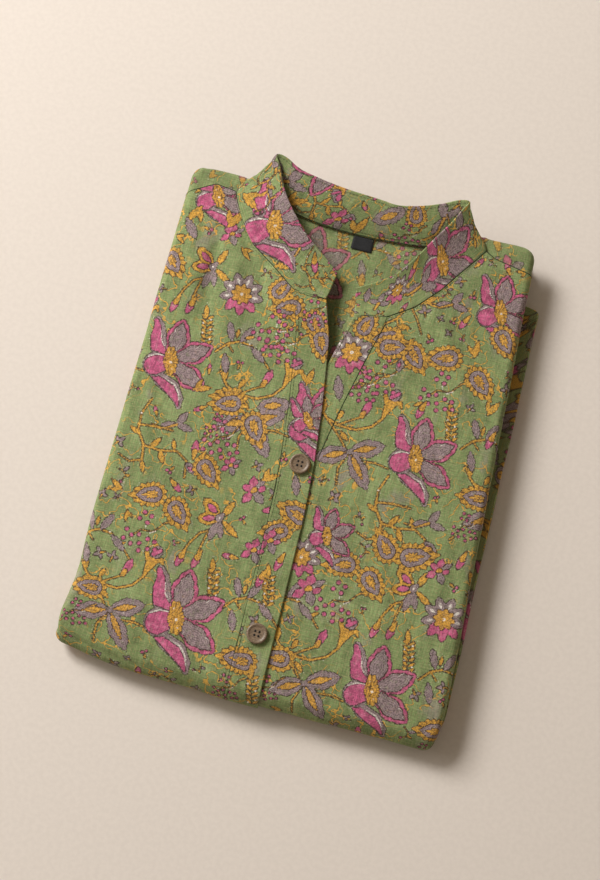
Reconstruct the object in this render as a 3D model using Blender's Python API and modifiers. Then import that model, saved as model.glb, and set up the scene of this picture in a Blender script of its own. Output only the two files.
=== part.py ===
"""A printed cotton kurta tunic, folded for the shelf and lying face up.

The packet lies along Y: collar toward +Y, bottom fold toward -Y, viewer's right toward +X.
Sizes are in millimetres and become metres where a mesh is made. Plan sizes are measured
from the middle of the front, and the whole is centred on its own box at the end.
"""

import math

import bmesh
import bpy
from mathutils import Vector

MM = 0.001

# Packet: outer face of the folded body
LEFT_X = -152.0
RIGHT_X = 160.0
RIGHT_SLANT = 0.052
BOTTOM_Y = -211.0
TOP_Y = 221.5
TOP_Z = 26.0
SIDE_ROLL = 6.5
BOTTOM_ROLL = 13.0
TOP_ROLL = 6.5
CORNER = 6.0
CROWN = 1.5
# Middle and half size of the crowned top: (x, half width), (y, half length)
CROWN_X = (4.0, 156.0)
CROWN_Y = (5.0, 216.0)

# Cloth and seams
WALL = 1.2
GAP = 0.3
SEAM_GAP = 0.4
BAND_WALL = 1.8
COLLAR_WALL = 2.0
SIDE_WRAP = math.radians(150)
BOTTOM_WRAP = math.radians(145)
UNDER_WRAP = math.radians(75)
CORE_WRAP = math.radians(148)
CORE_CORNER = 0.7
CORE_CLEAR = 0.5

# Button bands
PLACKET_WIDTH = 28.0
UNDER_WIDTH = 27.0
PLACKET_LIFT = GAP + BAND_WALL
PLACKET_RAMP = 32.0
BAND_CLEAR = 12.0
BAND_TOP = 118.0
# Free edge of the upper band: (y, x)
UPPER_EDGE = (
    (-250, 21.0), (-208, 20.8), (-134, 19.5), (-56, 17.5), (-13, 14.6),
    (4, 12.6), (40, 8.2), (76, 2.2), (100, -1.8), (130.5, -12.7),
)
# Free edge of the under band, which shows only beside the neck slit: (y, x)
UNDER_EDGE = (
    (-250, -10.0), (-208, -10.0), (-134, -10.5), (-56, -12.0), (2, -10.0),
    (28, -6.0), (50, -2.0), (77, 3.5), (100, 8.6), (124.3, 14.6),
)

# Neck seam from the slit to the shoulder seam: (x, y)
NECK_LEFT = (
    (-12.7, 130.5), (-41, 132), (-66, 150), (-84, 162), (-98, 180), (-107, 195), (-111, 204),
)
NECK_RIGHT = (
    (14.6, 124.3), (41, 129.7), (61, 143.5), (79, 164.5), (93, 186), (102, 199), (107, 207),
)
# Forward shoulder seams from the neck to the side fold: (x, y)
SHOULDER_LEFT = ((-111, 204), (-129, 206.5), (-145.5, 197), (-165, 191))
SHOULDER_RIGHT = ((107, 207), (116, 202.5), (143.3, 198), (165, 195))

# Back neckline on the under layer: (x, y), and where it climbs over the shoulder fold
BACK_NECK = (
    (-86, 211), (-76, 204), (-62, 199), (-35, 195), (-5, 194), (25, 195), (55, 198), (72, 204), (82, 211),
)
SHOULDER_Y = 200.0
SHOULDER_WRAP = math.radians(95)
BACK_START = 30.0
BACK_STEP = 1.9
FOLD_NOSE = math.radians(64)
NECK_FOLD_SPAN = 26.0
NECK_DIP = 2.6
# Middle and reach of the dip inside the neck: (x, reach across), (y, reach along)
DIP_X = (-1.0, 62.0)
DIP_Y = (172.0, 46.0)
NECK_RAISE = 2.2
NECK_RAISE_REACH = 28.0
# Where the panels' levels stop being straight, and the outer y of the level at the seam's corner
SLIT_TOP = 112.0
CORNER_LEVEL = 124.0
NECK_STEPS = 7

# Soft ridges of the cloth: (x1, y1, x2, y2, half width, height)
FOLDS = (
    (-128, 170, -132, 60, 15, 1.3),
    (-98, 172, -84, 84, 10, 1.4),
    (-62, 140, -46, 60, 9, 1.2),
    (96, 176, 128, 150, 9, 1.3),
    (70, 146, 120, 96, 11, 1.1),
    (92, -92, 112, -176, 13, 1.2),
    (-110, -40, -60, -150, 18, 0.9),
    (60, 30, 130, -30, 16, 0.8),
)

# Collar stations: seam x, seam y, top x, top y, top z, all on the middle of its wall
COLLAR_LEFT = (
    (-12.7, 131.5, -9.3, 155, 30.5),
    (-41, 133.5, -27, 167.5, 33.5),
    (-65, 151.5, -44.5, 180.7, 36.5),
    (-83, 163.3, -54.5, 191, 38),
    (-97, 181, -64, 202, 39),
    (-106, 196, -72, 214, 40),
    (-109, 207, -79, 229, 41),
)
COLLAR_BACK = (
    (-100, 217.5, -84.5, 239.5, 41),
    (-85, 212.5, -76, 239.5, 39.5),
    (-75, 205.5, -62.4, 233, 38.5),
    (-61, 200.5, -45, 229.5, 38),
    (-34, 196.5, -20, 226, 38),
    (-4, 195.5, 8, 224.3, 38),
    (25, 196.5, 26, 223.1, 38),
    (54, 199.5, 45, 227.5, 38.2),
    (71, 205.5, 62, 234, 38.8),
    (81, 212.5, 74, 240, 39.5),
    (96, 218, 83, 241, 40.5),
)
COLLAR_RIGHT = (
    (105, 210, 79, 232, 40.2),
    (101, 200, 74, 221, 39),
    (92, 187, 68, 211, 38.2),
    (78, 165.5, 60, 197.5, 37.2),
    (60.5, 145, 51, 182, 35.8),
    (41, 131.2, 36, 162.5, 33),
    (14.6, 125.3, 10.2, 146.4, 30),
)
COLLAR_BOW = 1.4
COLLAR_ROWS = 4
COLLAR_STEPS = 3

# Layers folded behind: corners of the lower body, (x, y), with the edge that shows on the right
LOWER_CORNERS = (
    (-149.5, -205), (171.5, -205), (164.5, 174), (147, 177), (146, 214), (-148, 214),
)
# Section of its layered edge: (z, inset)
LOWER_EDGE = (
    (0, 2.6), (0.6, 1.1), (2.2, 0.2), (4.3, 0), (4.6, 0.6), (5.0, 0), (7.2, 0.3), (8.5, 1.2), (9.0, 3.0),
)
LOWER_RADII = (28.0, 5.0)
INNER_RADIUS = 1.5
# The layers between the sleeves, which join the upper flaps to the lower body: (x, y)
SPINE_CORNERS = (
    (-136, -203), (152, -203), (152, -122), (38, -116), (38, 208), (-38, 208), (-38, -116), (-136, -122),
)
SPINE_Z = (8.0, 14.0)
UPPER_FLOOR = 13.0
UPPER_FLOOR_INSET = 7.0
FLOOR_MIDDLE = (4.0, 5.0, 0.0)
SLEEVE_Z = (9.3, 12.7)
SLEEVE_LEFT = ((-147, -108), (-46, -100), (-43, 178), (-84, 207), (-145, 203))
SLEEVE_RIGHT = ((161, -108), (146, 200), (84, 207), (43, 178), (46, -100))
# Section of a sleeve's folded edge: (share of its thickness, inset)
SLEEVE_EDGE = ((0, 1.3), (0.22, 0.3), (0.5, 0), (0.78, 0.3), (1, 1.3))

# Buttons and label
BUTTON_RADIUS = 8.6
BUTTON_THICK = 2.8
BUTTON_RIM = 1.5
BUTTON_DISH = 0.8
BUTTON_HOLE = 0.95
BUTTON_HOLE_SPAN = 1.9
BUTTONS = (("button_upper", 3.0, -11.9), ("button_lower", 5.9, -156.4))
LABEL_CENTRE = (4.5, 188.0)
LABEL_SIZE = (18.0, 11.0)
LABEL_THICK = 1.0

# Linear colours from the object: base colour, roughness
COTTON_GREEN = ((0.16, 0.27, 0.085, 1), 0.85)
COTTON_INSIDE = ((0.19, 0.27, 0.11, 1), 0.9)
COCONUT = ((0.15, 0.095, 0.055, 1), 0.45)
BLACK_TAPE = ((0.012, 0.012, 0.014, 1), 0.7)


def clamp(value, low, high):
    return min(max(value, low), high)


def smooth(value):
    value = clamp(value, 0.0, 1.0)
    return value * value * (3 - 2 * value)


def read_table(table, at):
    """The second column of a table where its first column, which rises, is at."""
    if at <= table[0][0]:
        return table[0][1]
    for (start, first), (end, second) in zip(table, table[1:]):
        if at <= end:
            return first + (second - first) * (at - start) / (end - start)
    return table[-1][1]


def along(points, share):
    """The point at a share of a polyline's length."""
    lengths = [math.dist(p, q) for p, q in zip(points, points[1:])]
    left = clamp(share, 0.0, 1.0) * sum(lengths)
    for p, q, length in zip(points, points[1:], lengths):
        if left <= length:
            return tuple(u + (v - u) * left / length for u, v in zip(p, q))
        left -= length
    return tuple(points[-1])


def distance_to(points, x, y):
    """How far a plan point lies from a polyline."""
    nearest = math.inf
    for (x1, y1), (x2, y2) in zip(points, points[1:]):
        run = (x2 - x1, y2 - y1)
        share = clamp(((x - x1) * run[0] + (y - y1) * run[1]) / (run[0] ** 2 + run[1] ** 2), 0, 1)
        nearest = min(nearest, math.hypot(x - x1 - share * run[0], y - y1 - share * run[1]))
    return nearest


def right_edge(y):
    return RIGHT_X - RIGHT_SLANT * y


def crown(x, y):
    """How much the packet's top rises toward its middle."""
    across = (x - CROWN_X[0]) / CROWN_X[1]
    lengthwise = (y - CROWN_Y[0]) / CROWN_Y[1]
    return CROWN * max(0.0, 1 - across * across) * max(0.0, 1 - lengthwise * lengthwise)


def place(a, b, height=0.0):
    """The point that lies height above the packet's outer face.

    a and b are plan sizes on the flat top, and go on as lengths of cloth over the rolled edges.
    """
    low_y = BOTTOM_Y + BOTTOM_ROLL + CORNER
    high_y = TOP_Y - TOP_ROLL - CORNER
    y = clamp(b, low_y, high_y)
    x = clamp(a, LEFT_X + SIDE_ROLL + CORNER, right_edge(y) - SIDE_ROLL - CORNER)
    out = Vector((a - x, b - y))
    reach = out.length
    if reach <= CORNER:
        return Vector((a, b, TOP_Z + crown(a, b) + height))
    out /= reach
    end_roll = BOTTOM_ROLL if out.y < 0 else TOP_ROLL
    roll = SIDE_ROLL * out.x ** 2 + end_roll * out.y ** 2
    turn = (reach - CORNER) / roll
    flat = Vector((x, y)) + out * CORNER
    spread = (roll + height) * math.sin(turn)
    z = TOP_Z + crown(flat.x, flat.y) - roll + (roll + height) * math.cos(turn)
    return Vector((flat.x + out.x * spread, flat.y + out.y * spread, z))


def folds(x, y):
    """The height of the cloth's soft ridges at a plan point."""
    height = 0.0
    for x1, y1, x2, y2, width, rise in FOLDS:
        run = (x2 - x1, y2 - y1)
        share = ((x - x1) * run[0] + (y - y1) * run[1]) / (run[0] ** 2 + run[1] ** 2)
        held = clamp(share, 0, 1)
        off = math.hypot(x - x1 - held * run[0], y - y1 - held * run[1])
        fade = 0.35 + 0.65 * math.sin(math.pi * held)
        height += rise * fade * math.exp(-((off / width) ** 2))
    return height


def neck_raise(x, y):
    """How much the collar lifts the fronts beside the neck seam."""
    off = min(distance_to(NECK_LEFT, x, y), distance_to(NECK_RIGHT, x, y))
    return NECK_RAISE * math.exp(-((off / NECK_RAISE_REACH) ** 2))


def neck_dip(x, y):
    """How much the under layer sinks inside the neck."""
    across = (x - DIP_X[0]) / DIP_X[1]
    lengthwise = (y - DIP_Y[0]) / DIP_Y[1]
    return NECK_DIP * math.exp(-(across ** 2 + lengthwise ** 2))


def ridges(a, b):
    """The soft ridges on a front, which die out before the bottom fold."""
    return folds(a, b) * smooth((b - BOTTOM_Y - BOTTOM_ROLL) / 30)


def left_band_seam(b):
    return read_table(UPPER_EDGE, b) - PLACKET_WIDTH


def right_band_seam(b):
    return read_table(UNDER_EDGE, b) + UNDER_WIDTH


def left_height(a, b):
    """The outer face of the left front: it climbs to lie level with the upper band."""
    climb = smooth(1 - (left_band_seam(b) - a) / PLACKET_RAMP)
    return PLACKET_LIFT * climb + neck_raise(a, b) + ridges(a, b)


def right_height(a, b):
    """The outer face of the right front, flat where the upper band lies on it."""
    clear = smooth((a - read_table(UPPER_EDGE, b)) / BAND_CLEAR) if b < BAND_TOP else 1
    return neck_raise(a, b) + ridges(a, b) * clear


def wrap_share(beyond, limit):
    """How much of a side's wrap is left where the cloth has also gone round an end fold."""
    return math.sqrt(max(0.03, 1 - (max(0.0, beyond) / limit) ** 2))


def new_material(name, finish):
    colour, roughness = finish
    made = bpy.data.materials.new(name)
    made.use_nodes = True
    shader = made.node_tree.nodes["Principled BSDF"]
    shader.inputs["Base Color"].default_value = colour
    shader.inputs["Roughness"].default_value = roughness
    shader.inputs["Metallic"].default_value = 0.0
    made.diffuse_color = colour
    return made


def add_object(name, mesh, finish):
    mesh.materials.append(new_material(name, finish))
    made = bpy.data.objects.new(name, mesh)
    kurta.objects.link(made)
    made.parent = holder
    mesh.shade_smooth()
    mesh.set_sharp_from_angle(angle=math.radians(40))
    return made


def sheet_mesh(name, rows):
    """An open grid of faces through rows of points."""
    columns = len(rows[0])
    points = [tuple(p * MM for p in point) for row in rows for point in row]
    faces = []
    for i in range(len(rows) - 1):
        for j in range(columns - 1):
            first = i * columns + j
            faces.append((first, first + 1, first + 1 + columns, first + columns))
    mesh = bpy.data.meshes.new(name)
    mesh.from_pydata(points, [], faces)
    mesh.update()
    return mesh


def add_cloth(name, rows, finish, thickness, offset=-1.0):
    """A cloth wall: the grid is its outer face, or its middle where offset is 0."""
    made = add_object(name, sheet_mesh(name, rows), finish)
    wall = made.modifiers.new("Wall", "SOLIDIFY")
    wall.thickness = thickness * MM
    wall.offset = offset
    wall.use_even_offset = offset != 0
    return made


def spread(start, end, steps):
    return [start + (end - start) * i / steps for i in range(steps + 1)]


def body_rows(wrap=BOTTOM_WRAP):
    """Cloth sizes up the body: round the bottom fold, then up the flat front to near the slit's top."""
    flat = BOTTOM_Y + BOTTOM_ROLL
    around = spread(flat - BOTTOM_ROLL * wrap, flat, 8)
    return around[:-1] + spread(flat, SLIT_TOP, 21)


def seam_at(line, x):
    """The y of a seam at x."""
    return read_table(sorted(line), x)


def front(name, side, neck, shoulder, band_seam, height):
    """One front panel. side is -1 for the viewer's left and 1 for the right."""
    low_y = BOTTOM_Y + BOTTOM_ROLL
    # Each level runs from the side fold at its outer y to its inner point on the band's or neck's seam
    levels = [(b, band_seam(b), b) for b in body_rows()]
    start = (band_seam(neck[0][1]), neck[0][1] + 1.0)
    neck_line = [start] + [p for p in neck if (p[0] - start[0]) * side > 6]
    shoulder_y = shoulder[-2][1]
    for i in range(NECK_STEPS + 1):
        share = i / NECK_STEPS
        inner_x, inner_y = along(neck_line, share)
        levels.append((CORNER_LEVEL + (shoulder_y - CORNER_LEVEL) * share, inner_x, inner_y))
    rows = []
    for level, (outer_y, inner_x, inner_y) in enumerate(levels):
        edge = LEFT_X + SIDE_ROLL
        if side > 0:
            edge = right_edge(clamp(outer_y, low_y, TOP_Y)) - SIDE_ROLL
        wrap = SIDE_ROLL * SIDE_WRAP * wrap_share(low_y - outer_y, BOTTOM_ROLL * BOTTOM_WRAP)
        row = []
        for a in spread(edge + side * wrap, edge, 6)[:-1] + spread(edge, inner_x, 9):
            share = clamp((a - edge) / (inner_x - edge), 0, 1)
            y = outer_y + (inner_y - outer_y) * smooth(share)
            if level == len(levels) - 1:
                y = seam_at(shoulder, a) - SEAM_GAP
            row.append(place(a, y, height(a, y)))
        rows.append(row if side < 0 else row[::-1])
    return add_cloth(name, rows, COTTON_GREEN, WALL)


def band(name, edge_table, width, side, top, lift, wall, wrap):
    """A button band: from its seam on the front to its free edge, and round the bottom fold."""
    rows = []
    for b in body_rows(wrap) + spread(SLIT_TOP, top, 2)[1:]:
        free = read_table(edge_table, b)
        row = []
        for a in spread(free - side * (width - SEAM_GAP), free, 3):
            row.append(place(a, b, lift + neck_raise(a, b)))
        rows.append(row if side > 0 else row[::-1])
    return add_cloth(name, rows, COTTON_GREEN, wall)


def back_path(x):
    """Cloth positions of the back at x, as (b, height): up under the fronts and over the shoulder fold."""
    fold = TOP_Y - TOP_ROLL + TOP_ROLL * FOLD_NOSE
    under = -BACK_STEP - WALL / 2
    over = -WALL / 2
    flat = TOP_Y - TOP_ROLL
    path = [(b, under) for b in spread(BACK_START, flat, 9)[:-1] + spread(flat, fold, 3)]
    middle = (under + over) / 2
    radius = (over - under) / 2
    for turn in (45, 90, 135):
        angle = math.radians(turn)
        path.append((fold + radius * math.sin(angle), middle - radius * math.cos(angle)))
    seam = seam_at(SHOULDER_LEFT if x < 0 else SHOULDER_RIGHT, x)
    path += [(b, over) for b in spread(fold, flat, 3)[:-1] + spread(flat, seam, 2)]
    return path


def back():
    """The back: its inside shows in the neck, and its shoulders come over the fold to the seams."""
    left, right = SHOULDER_LEFT[0][0], SHOULDER_RIGHT[0][0]
    left_end = LEFT_X + SIDE_ROLL - SIDE_ROLL * SHOULDER_WRAP
    right_flat = right_edge(SHOULDER_Y) - SIDE_ROLL
    right_end = right_flat + SIDE_ROLL * SHOULDER_WRAP
    columns = spread(left_end, LEFT_X + SIDE_ROLL, 4)[:-1] + spread(LEFT_X + SIDE_ROLL, left, 3)
    columns += spread(left, left + NECK_FOLD_SPAN, 5)[1:]
    columns += spread(left + NECK_FOLD_SPAN, right - NECK_FOLD_SPAN, 10)[1:]
    columns += spread(right - NECK_FOLD_SPAN, right, 5)[1:]
    columns += spread(right, right_flat, 4)[1:] + spread(right_flat, right_end, 4)[1:]
    rows = []
    for x in columns:
        path = back_path(x)
        whole = sum(math.dist(p, q) for p, q in zip(path, path[1:]))
        inset = max(left - x, x - right)
        neckline = seam_at(BACK_NECK, x) - BACK_START
        if inset >= 0:
            share = 1.0
        else:
            share = 1.0 + (neckline / whole - 1.0) * smooth(-inset / NECK_FOLD_SPAN)
        row = []
        for i in range(len(path)):
            done = sum(math.dist(p, q) for p, q in zip(path[:i], path[1:i + 1]))
            b, height = along(path, share * done / whole)
            row.append(place(x, b, height - neck_dip(x, b)))
        rows.append(row)
    return add_cloth("back", rows, COTTON_INSIDE, WALL, 0.0)


def curve_through(stations, steps):
    """Stations with steps - 1 more between each pair, on a smooth curve through them all."""
    made = []
    for i in range(len(stations) - 1):
        before = stations[max(i - 1, 0)]
        start, end = stations[i], stations[i + 1]
        after = stations[min(i + 2, len(stations) - 1)]
        for j in range(steps):
            t = j / steps
            made.append(tuple(
                q + 0.5 * t * ((r - p) + t * (2 * p - 5 * q + 4 * r - s + t * (3 * q - p - 3 * r + s)))
                for p, q, r, s in zip(before, start, end, after)
            ))
    return made + [tuple(stations[-1])]


def collar():
    """The stand collar: its fronts lie on the body and its back stands behind the neck."""
    stations = []
    for x, y, top_x, top_y, top_z in COLLAR_LEFT + COLLAR_BACK + COLLAR_RIGHT:
        in_back = (x, y, top_x, top_y, top_z) in COLLAR_BACK
        if in_back:
            edge = min(x - COLLAR_BACK[0][0], COLLAR_BACK[-1][0] - x)
            low = -BACK_STEP + GAP + COLLAR_WALL / 2 + 0.5 - neck_dip(x, y) * smooth(edge / 30)
            low += 2.4 * (1 - smooth(edge / 16))
        else:
            lifted = PLACKET_LIFT if x < 0 and y < 135 else 0.0
            low = neck_raise(x, y) - COLLAR_WALL / 2 + 0.4 + lifted
        seam = place(x, min(y, TOP_Y - TOP_ROLL), low)
        stations.append((x, y, seam.z, top_x, top_y, top_z))
    rows = []
    ring = curve_through(stations, COLLAR_STEPS)
    for i, (x, y, z, top_x, top_y, top_z) in enumerate(ring):
        seam, top = Vector((x, y, z)), Vector((top_x, top_y, top_z))
        ahead = ring[min(i + 1, len(ring) - 1)]
        behind = ring[max(i - 1, 0)]
        course = Vector(ahead[3:]) + Vector(ahead[:3]) - Vector(behind[3:]) - Vector(behind[:3])
        outward = course.cross(top - seam).normalized()
        row = []
        for j in range(COLLAR_ROWS + 1):
            share = j / COLLAR_ROWS
            row.append(seam.lerp(top, share) + outward * COLLAR_BOW * math.sin(math.pi * share))
        rows.append(row)
    return add_cloth("collar", rows, COTTON_GREEN, COLLAR_WALL, 0.0)


def rounded_outline(corners, insets, radii=(9.0, 9.0), arc_steps=4):
    """A plan outline drawn in from its corners by each edge's inset, with round corners.

    The first two corners, at the bottom fold, take radii's first value and the others its second.
    """
    count = len(corners)
    lines = []
    for i in range(count):
        start, end = Vector(corners[i]), Vector(corners[(i + 1) % count])
        run = (end - start).normalized()
        inward = Vector((-run.y, run.x))
        lines.append((start + inward * insets[i], run))
    points = []
    for i in range(count):
        (p, u), (q, v) = lines[i - 1], lines[i]
        cross = u.x * v.y - u.y * v.x
        gap = q - p
        meet = p + u * ((gap.x * v.y - gap.y * v.x) / cross)
        bend = u.angle(v)
        radius = radii[0] if i < 2 else radii[1]
        pull = (radius if cross > 0 else INNER_RADIUS) * math.tan(bend / 2)
        start, end = meet - u * pull, meet + v * pull
        for j in range(arc_steps + 1):
            t = j / arc_steps
            points.append((start * (1 - t) + meet * t).lerp(meet * (1 - t) + end * t, t))
    return points


def stack_mesh(name, rings):
    """A closed solid through rings of points, each (outline, z), flat at both ends."""
    count = len(rings[0][0])
    points = [(p.x * MM, p.y * MM, z * MM) for outline, z in rings for p in outline]
    faces = [tuple(reversed(range(count)))]
    for level in range(len(rings) - 1):
        for i in range(count):
            low, low_next = level * count + i, level * count + (i + 1) % count
            faces.append((low, low_next, low_next + count, low + count))
    faces.append(tuple(range(count * (len(rings) - 1), count * len(rings))))
    mesh = bpy.data.meshes.new(name)
    mesh.from_pydata(points, [], faces)
    mesh.update()
    return mesh


def upper_layers_mesh():
    """The flaps folded behind the fronts: a pillow under the body, with a flat floor."""
    columns = 18
    low_y, high_y = BOTTOM_Y + BOTTOM_ROLL, TOP_Y - TOP_ROLL
    ends = spread(low_y - BOTTOM_ROLL * CORE_WRAP, low_y, 7)
    down = ends[:-1] + spread(low_y, BACK_START - 24, 9)[:-1] + spread(BACK_START - 24, high_y, 11)
    down += [high_y + TOP_ROLL * math.radians(turn) for turn in (32, 62, 90, 108, 128, 148)]
    rows = []
    for b in down:
        y = clamp(b, low_y, high_y)
        left, right = LEFT_X + SIDE_ROLL, right_edge(y) - SIDE_ROLL
        end_limit = (BOTTOM_ROLL if b < y else TOP_ROLL) * CORE_WRAP
        wrap = SIDE_ROLL * CORE_WRAP * wrap_share(abs(b - y), end_limit)
        across = spread(left - wrap, left, 4)[:-1] + spread(left, right, columns - 8)
        across += spread(right, right + wrap, 4)[1:]
        under_back = smooth((b - BACK_START + 20) / 14)
        end_turn = (b - high_y) / TOP_ROLL
        past_fold = smooth((end_turn - math.radians(90)) / math.radians(18))
        row = []
        for a in across:
            at_corner = smooth(min(abs(b - y), abs(a - clamp(a, left, right))) / 5)
            depth = WALL + GAP + CORE_CORNER * at_corner
            depth += (BACK_STEP + CORE_CLEAR) * under_back * (1 - past_fold)
            row.append(place(a, b, -depth - neck_dip(a, b) * under_back))
        rows.append(row)
    count = len(rows[0])
    mesh = sheet_mesh("upper_layers", [row[::-1] for row in rows])
    shell = bmesh.new()
    shell.from_mesh(mesh)
    shell.verts.ensure_lookup_table()
    last = len(rows) - 1
    border = [shell.verts[j] for j in range(count)]
    border += [shell.verts[i * count + count - 1] for i in range(1, last + 1)]
    border += [shell.verts[last * count + j] for j in range(count - 2, -1, -1)]
    border += [shell.verts[i * count] for i in range(last - 1, 0, -1)]
    middle = Vector(FLOOR_MIDDLE) * MM
    floor = []
    for vertex in border:
        inward = middle - vertex.co
        inward.z = 0
        drawn = vertex.co + inward.normalized() * UPPER_FLOOR_INSET * MM
        floor.append(shell.verts.new((drawn.x, drawn.y, UPPER_FLOOR * MM)))
    for i, vertex in enumerate(border):
        after = (i + 1) % len(border)
        shell.faces.new((vertex, border[after], floor[after], floor[i]))
    shell.faces.new(floor)
    bmesh.ops.recalc_face_normals(shell, faces=shell.faces)
    shell.to_mesh(mesh)
    shell.free()
    return mesh


def add_cutter(name, mesh):
    """A helper that another object's Boolean reads."""
    made = bpy.data.objects.new(name, mesh)
    helpers.objects.link(made)
    made.parent = holder
    made.hide_render = True
    made.display_type = "WIRE"
    return made


def join_with(target, helper, operation):
    step = target.modifiers.new(helper.name, "BOOLEAN")
    step.operation = operation
    step.solver = "EXACT"
    step.object = helper
    return step


def folded_layers():
    """Side flaps, lower body and hem folded behind, as one solid with layered edges."""
    made = add_object("folded_layers", upper_layers_mesh(), COTTON_GREEN)
    spine = [(rounded_outline(SPINE_CORNERS, [0] * len(SPINE_CORNERS)), z) for z in SPINE_Z]
    rings = []
    for z, inset in LOWER_EDGE:
        insets = [inset] * len(LOWER_CORNERS)
        reach = BOTTOM_ROLL - WALL - GAP
        free = math.sqrt(max(0.0, reach ** 2 - (TOP_Z / 2 - z) ** 2))
        insets[0] = BOTTOM_Y + BOTTOM_ROLL - free + 0.5 - LOWER_CORNERS[0][1]
        rings.append((rounded_outline(LOWER_CORNERS, insets, LOWER_RADII), z))
    for label, outlines in (("spine", spine), ("lower_body", rings)):
        join_with(made, add_cutter(label, stack_mesh(label, outlines)), "UNION")
    return made


def sleeve(name, corners):
    """A sleeve folded flat behind the body."""
    low, high = SLEEVE_Z
    rings = []
    for share, inset in SLEEVE_EDGE:
        rings.append((rounded_outline(corners, [inset] * len(corners)), low + (high - low) * share))
    return add_object(name, stack_mesh(name, rings), COTTON_GREEN)


def button(name, a, b):
    """A four-hole button: a turned disc with a raised rim, drilled for its thread."""
    profile = (
        (0, BUTTON_THICK - BUTTON_DISH), (BUTTON_RADIUS - BUTTON_RIM - 0.9, BUTTON_THICK - BUTTON_DISH),
        (BUTTON_RADIUS - BUTTON_RIM, BUTTON_THICK - 0.1), (BUTTON_RADIUS - 0.8, BUTTON_THICK),
        (BUTTON_RADIUS - 0.1, BUTTON_THICK - 0.7), (BUTTON_RADIUS, BUTTON_THICK - 1.5),
        (BUTTON_RADIUS - 1.6, 0), (0, 0),
    )
    mesh = bpy.data.meshes.new(name)
    points = [(x * MM, 0, z * MM) for x, z in profile]
    mesh.from_pydata(points, [(i, i + 1) for i in range(len(points) - 1)], [])
    made = add_object(name, mesh, COCONUT)
    turn = made.modifiers.new("Turn", "SCREW")
    turn.steps = turn.render_steps = 28
    turn.use_merge_vertices = True
    turn.merge_threshold = 0.00005
    for i in range(4):
        angle = math.radians(45 + 90 * i)
        drill = bpy.data.meshes.new(f"{name}_drill_{i}")
        shape = bmesh.new()
        radius = BUTTON_HOLE * MM
        depth = 4 * BUTTON_THICK * MM
        bmesh.ops.create_cone(
            shape, cap_ends=True, segments=8, radius1=radius, radius2=radius, depth=depth
        )
        shape.to_mesh(drill)
        shape.free()
        cutter = add_cutter(f"{name}_hole_{i}", drill)
        cutter.parent = made
        span = BUTTON_HOLE_SPAN * MM
        cutter.location = (span * math.cos(angle), span * math.sin(angle), 0)
        join_with(made, cutter, "DIFFERENCE")
    seat = place(a, b, PLACKET_LIFT + GAP)
    made.location = seat * MM
    return made


def label():
    """The bare woven label at the back of the neck, lying on the back's inside."""
    cx, cy = LABEL_CENTRE
    width, height = LABEL_SIZE
    rows = []
    for y in spread(cy - height / 2, cy + height / 2, 3):
        row = []
        for x in spread(cx - width / 2, cx + width / 2, 4):
            row.append(place(x, y, -BACK_STEP + GAP + LABEL_THICK - neck_dip(x, y)))
        rows.append(row)
    return add_cloth("size_label", rows, BLACK_TAPE, LABEL_THICK)


def centre_on_box():
    """Moves the whole so that the middle of its box stands on the origin."""
    bpy.context.view_layer.update()
    graph = bpy.context.evaluated_depsgraph_get()
    corners = []
    for part in kurta.objects:
        solid = part.evaluated_get(graph)
        corners += [solid.matrix_world @ Vector(corner) for corner in solid.bound_box]
    low = [min(corner[i] for corner in corners) for i in range(3)]
    high = [max(corner[i] for corner in corners) for i in range(3)]
    holder.location = (-(low[0] + high[0]) / 2, -(low[1] + high[1]) / 2, -low[2])


for old in list(bpy.data.objects):
    bpy.data.objects.remove(old, do_unlink=True)
kurta = bpy.data.collections.new("kurta_tunic")
helpers = bpy.data.collections.new("cutters")
bpy.context.scene.collection.children.link(kurta)
bpy.context.scene.collection.children.link(helpers)
holder = bpy.data.objects.new("packet", None)
bpy.context.scene.collection.objects.link(holder)

front("front_left", -1, NECK_LEFT, SHOULDER_LEFT, left_band_seam, left_height)
front("front_right", 1, NECK_RIGHT, SHOULDER_RIGHT, right_band_seam, right_height)
band("placket_upper", UPPER_EDGE, PLACKET_WIDTH, 1, 130.0, PLACKET_LIFT, BAND_WALL, BOTTOM_WRAP)
band("placket_under", UNDER_EDGE, UNDER_WIDTH, -1, 123.5, 0.0, WALL, UNDER_WRAP)
back()
collar()
folded_layers()
sleeve("sleeve_left", SLEEVE_LEFT)
sleeve("sleeve_right", SLEEVE_RIGHT)
for button_name, button_a, button_b in BUTTONS:
    button(button_name, button_a, button_b)
label()
centre_on_box()
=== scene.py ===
"""The looks of a folded kurta tunic in printed slub cotton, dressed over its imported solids.

Sizes are in millimetres in the packet's own plan, x to the viewer's right and y toward the collar.
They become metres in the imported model's frame where a mesh is made.
"""

import math

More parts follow.
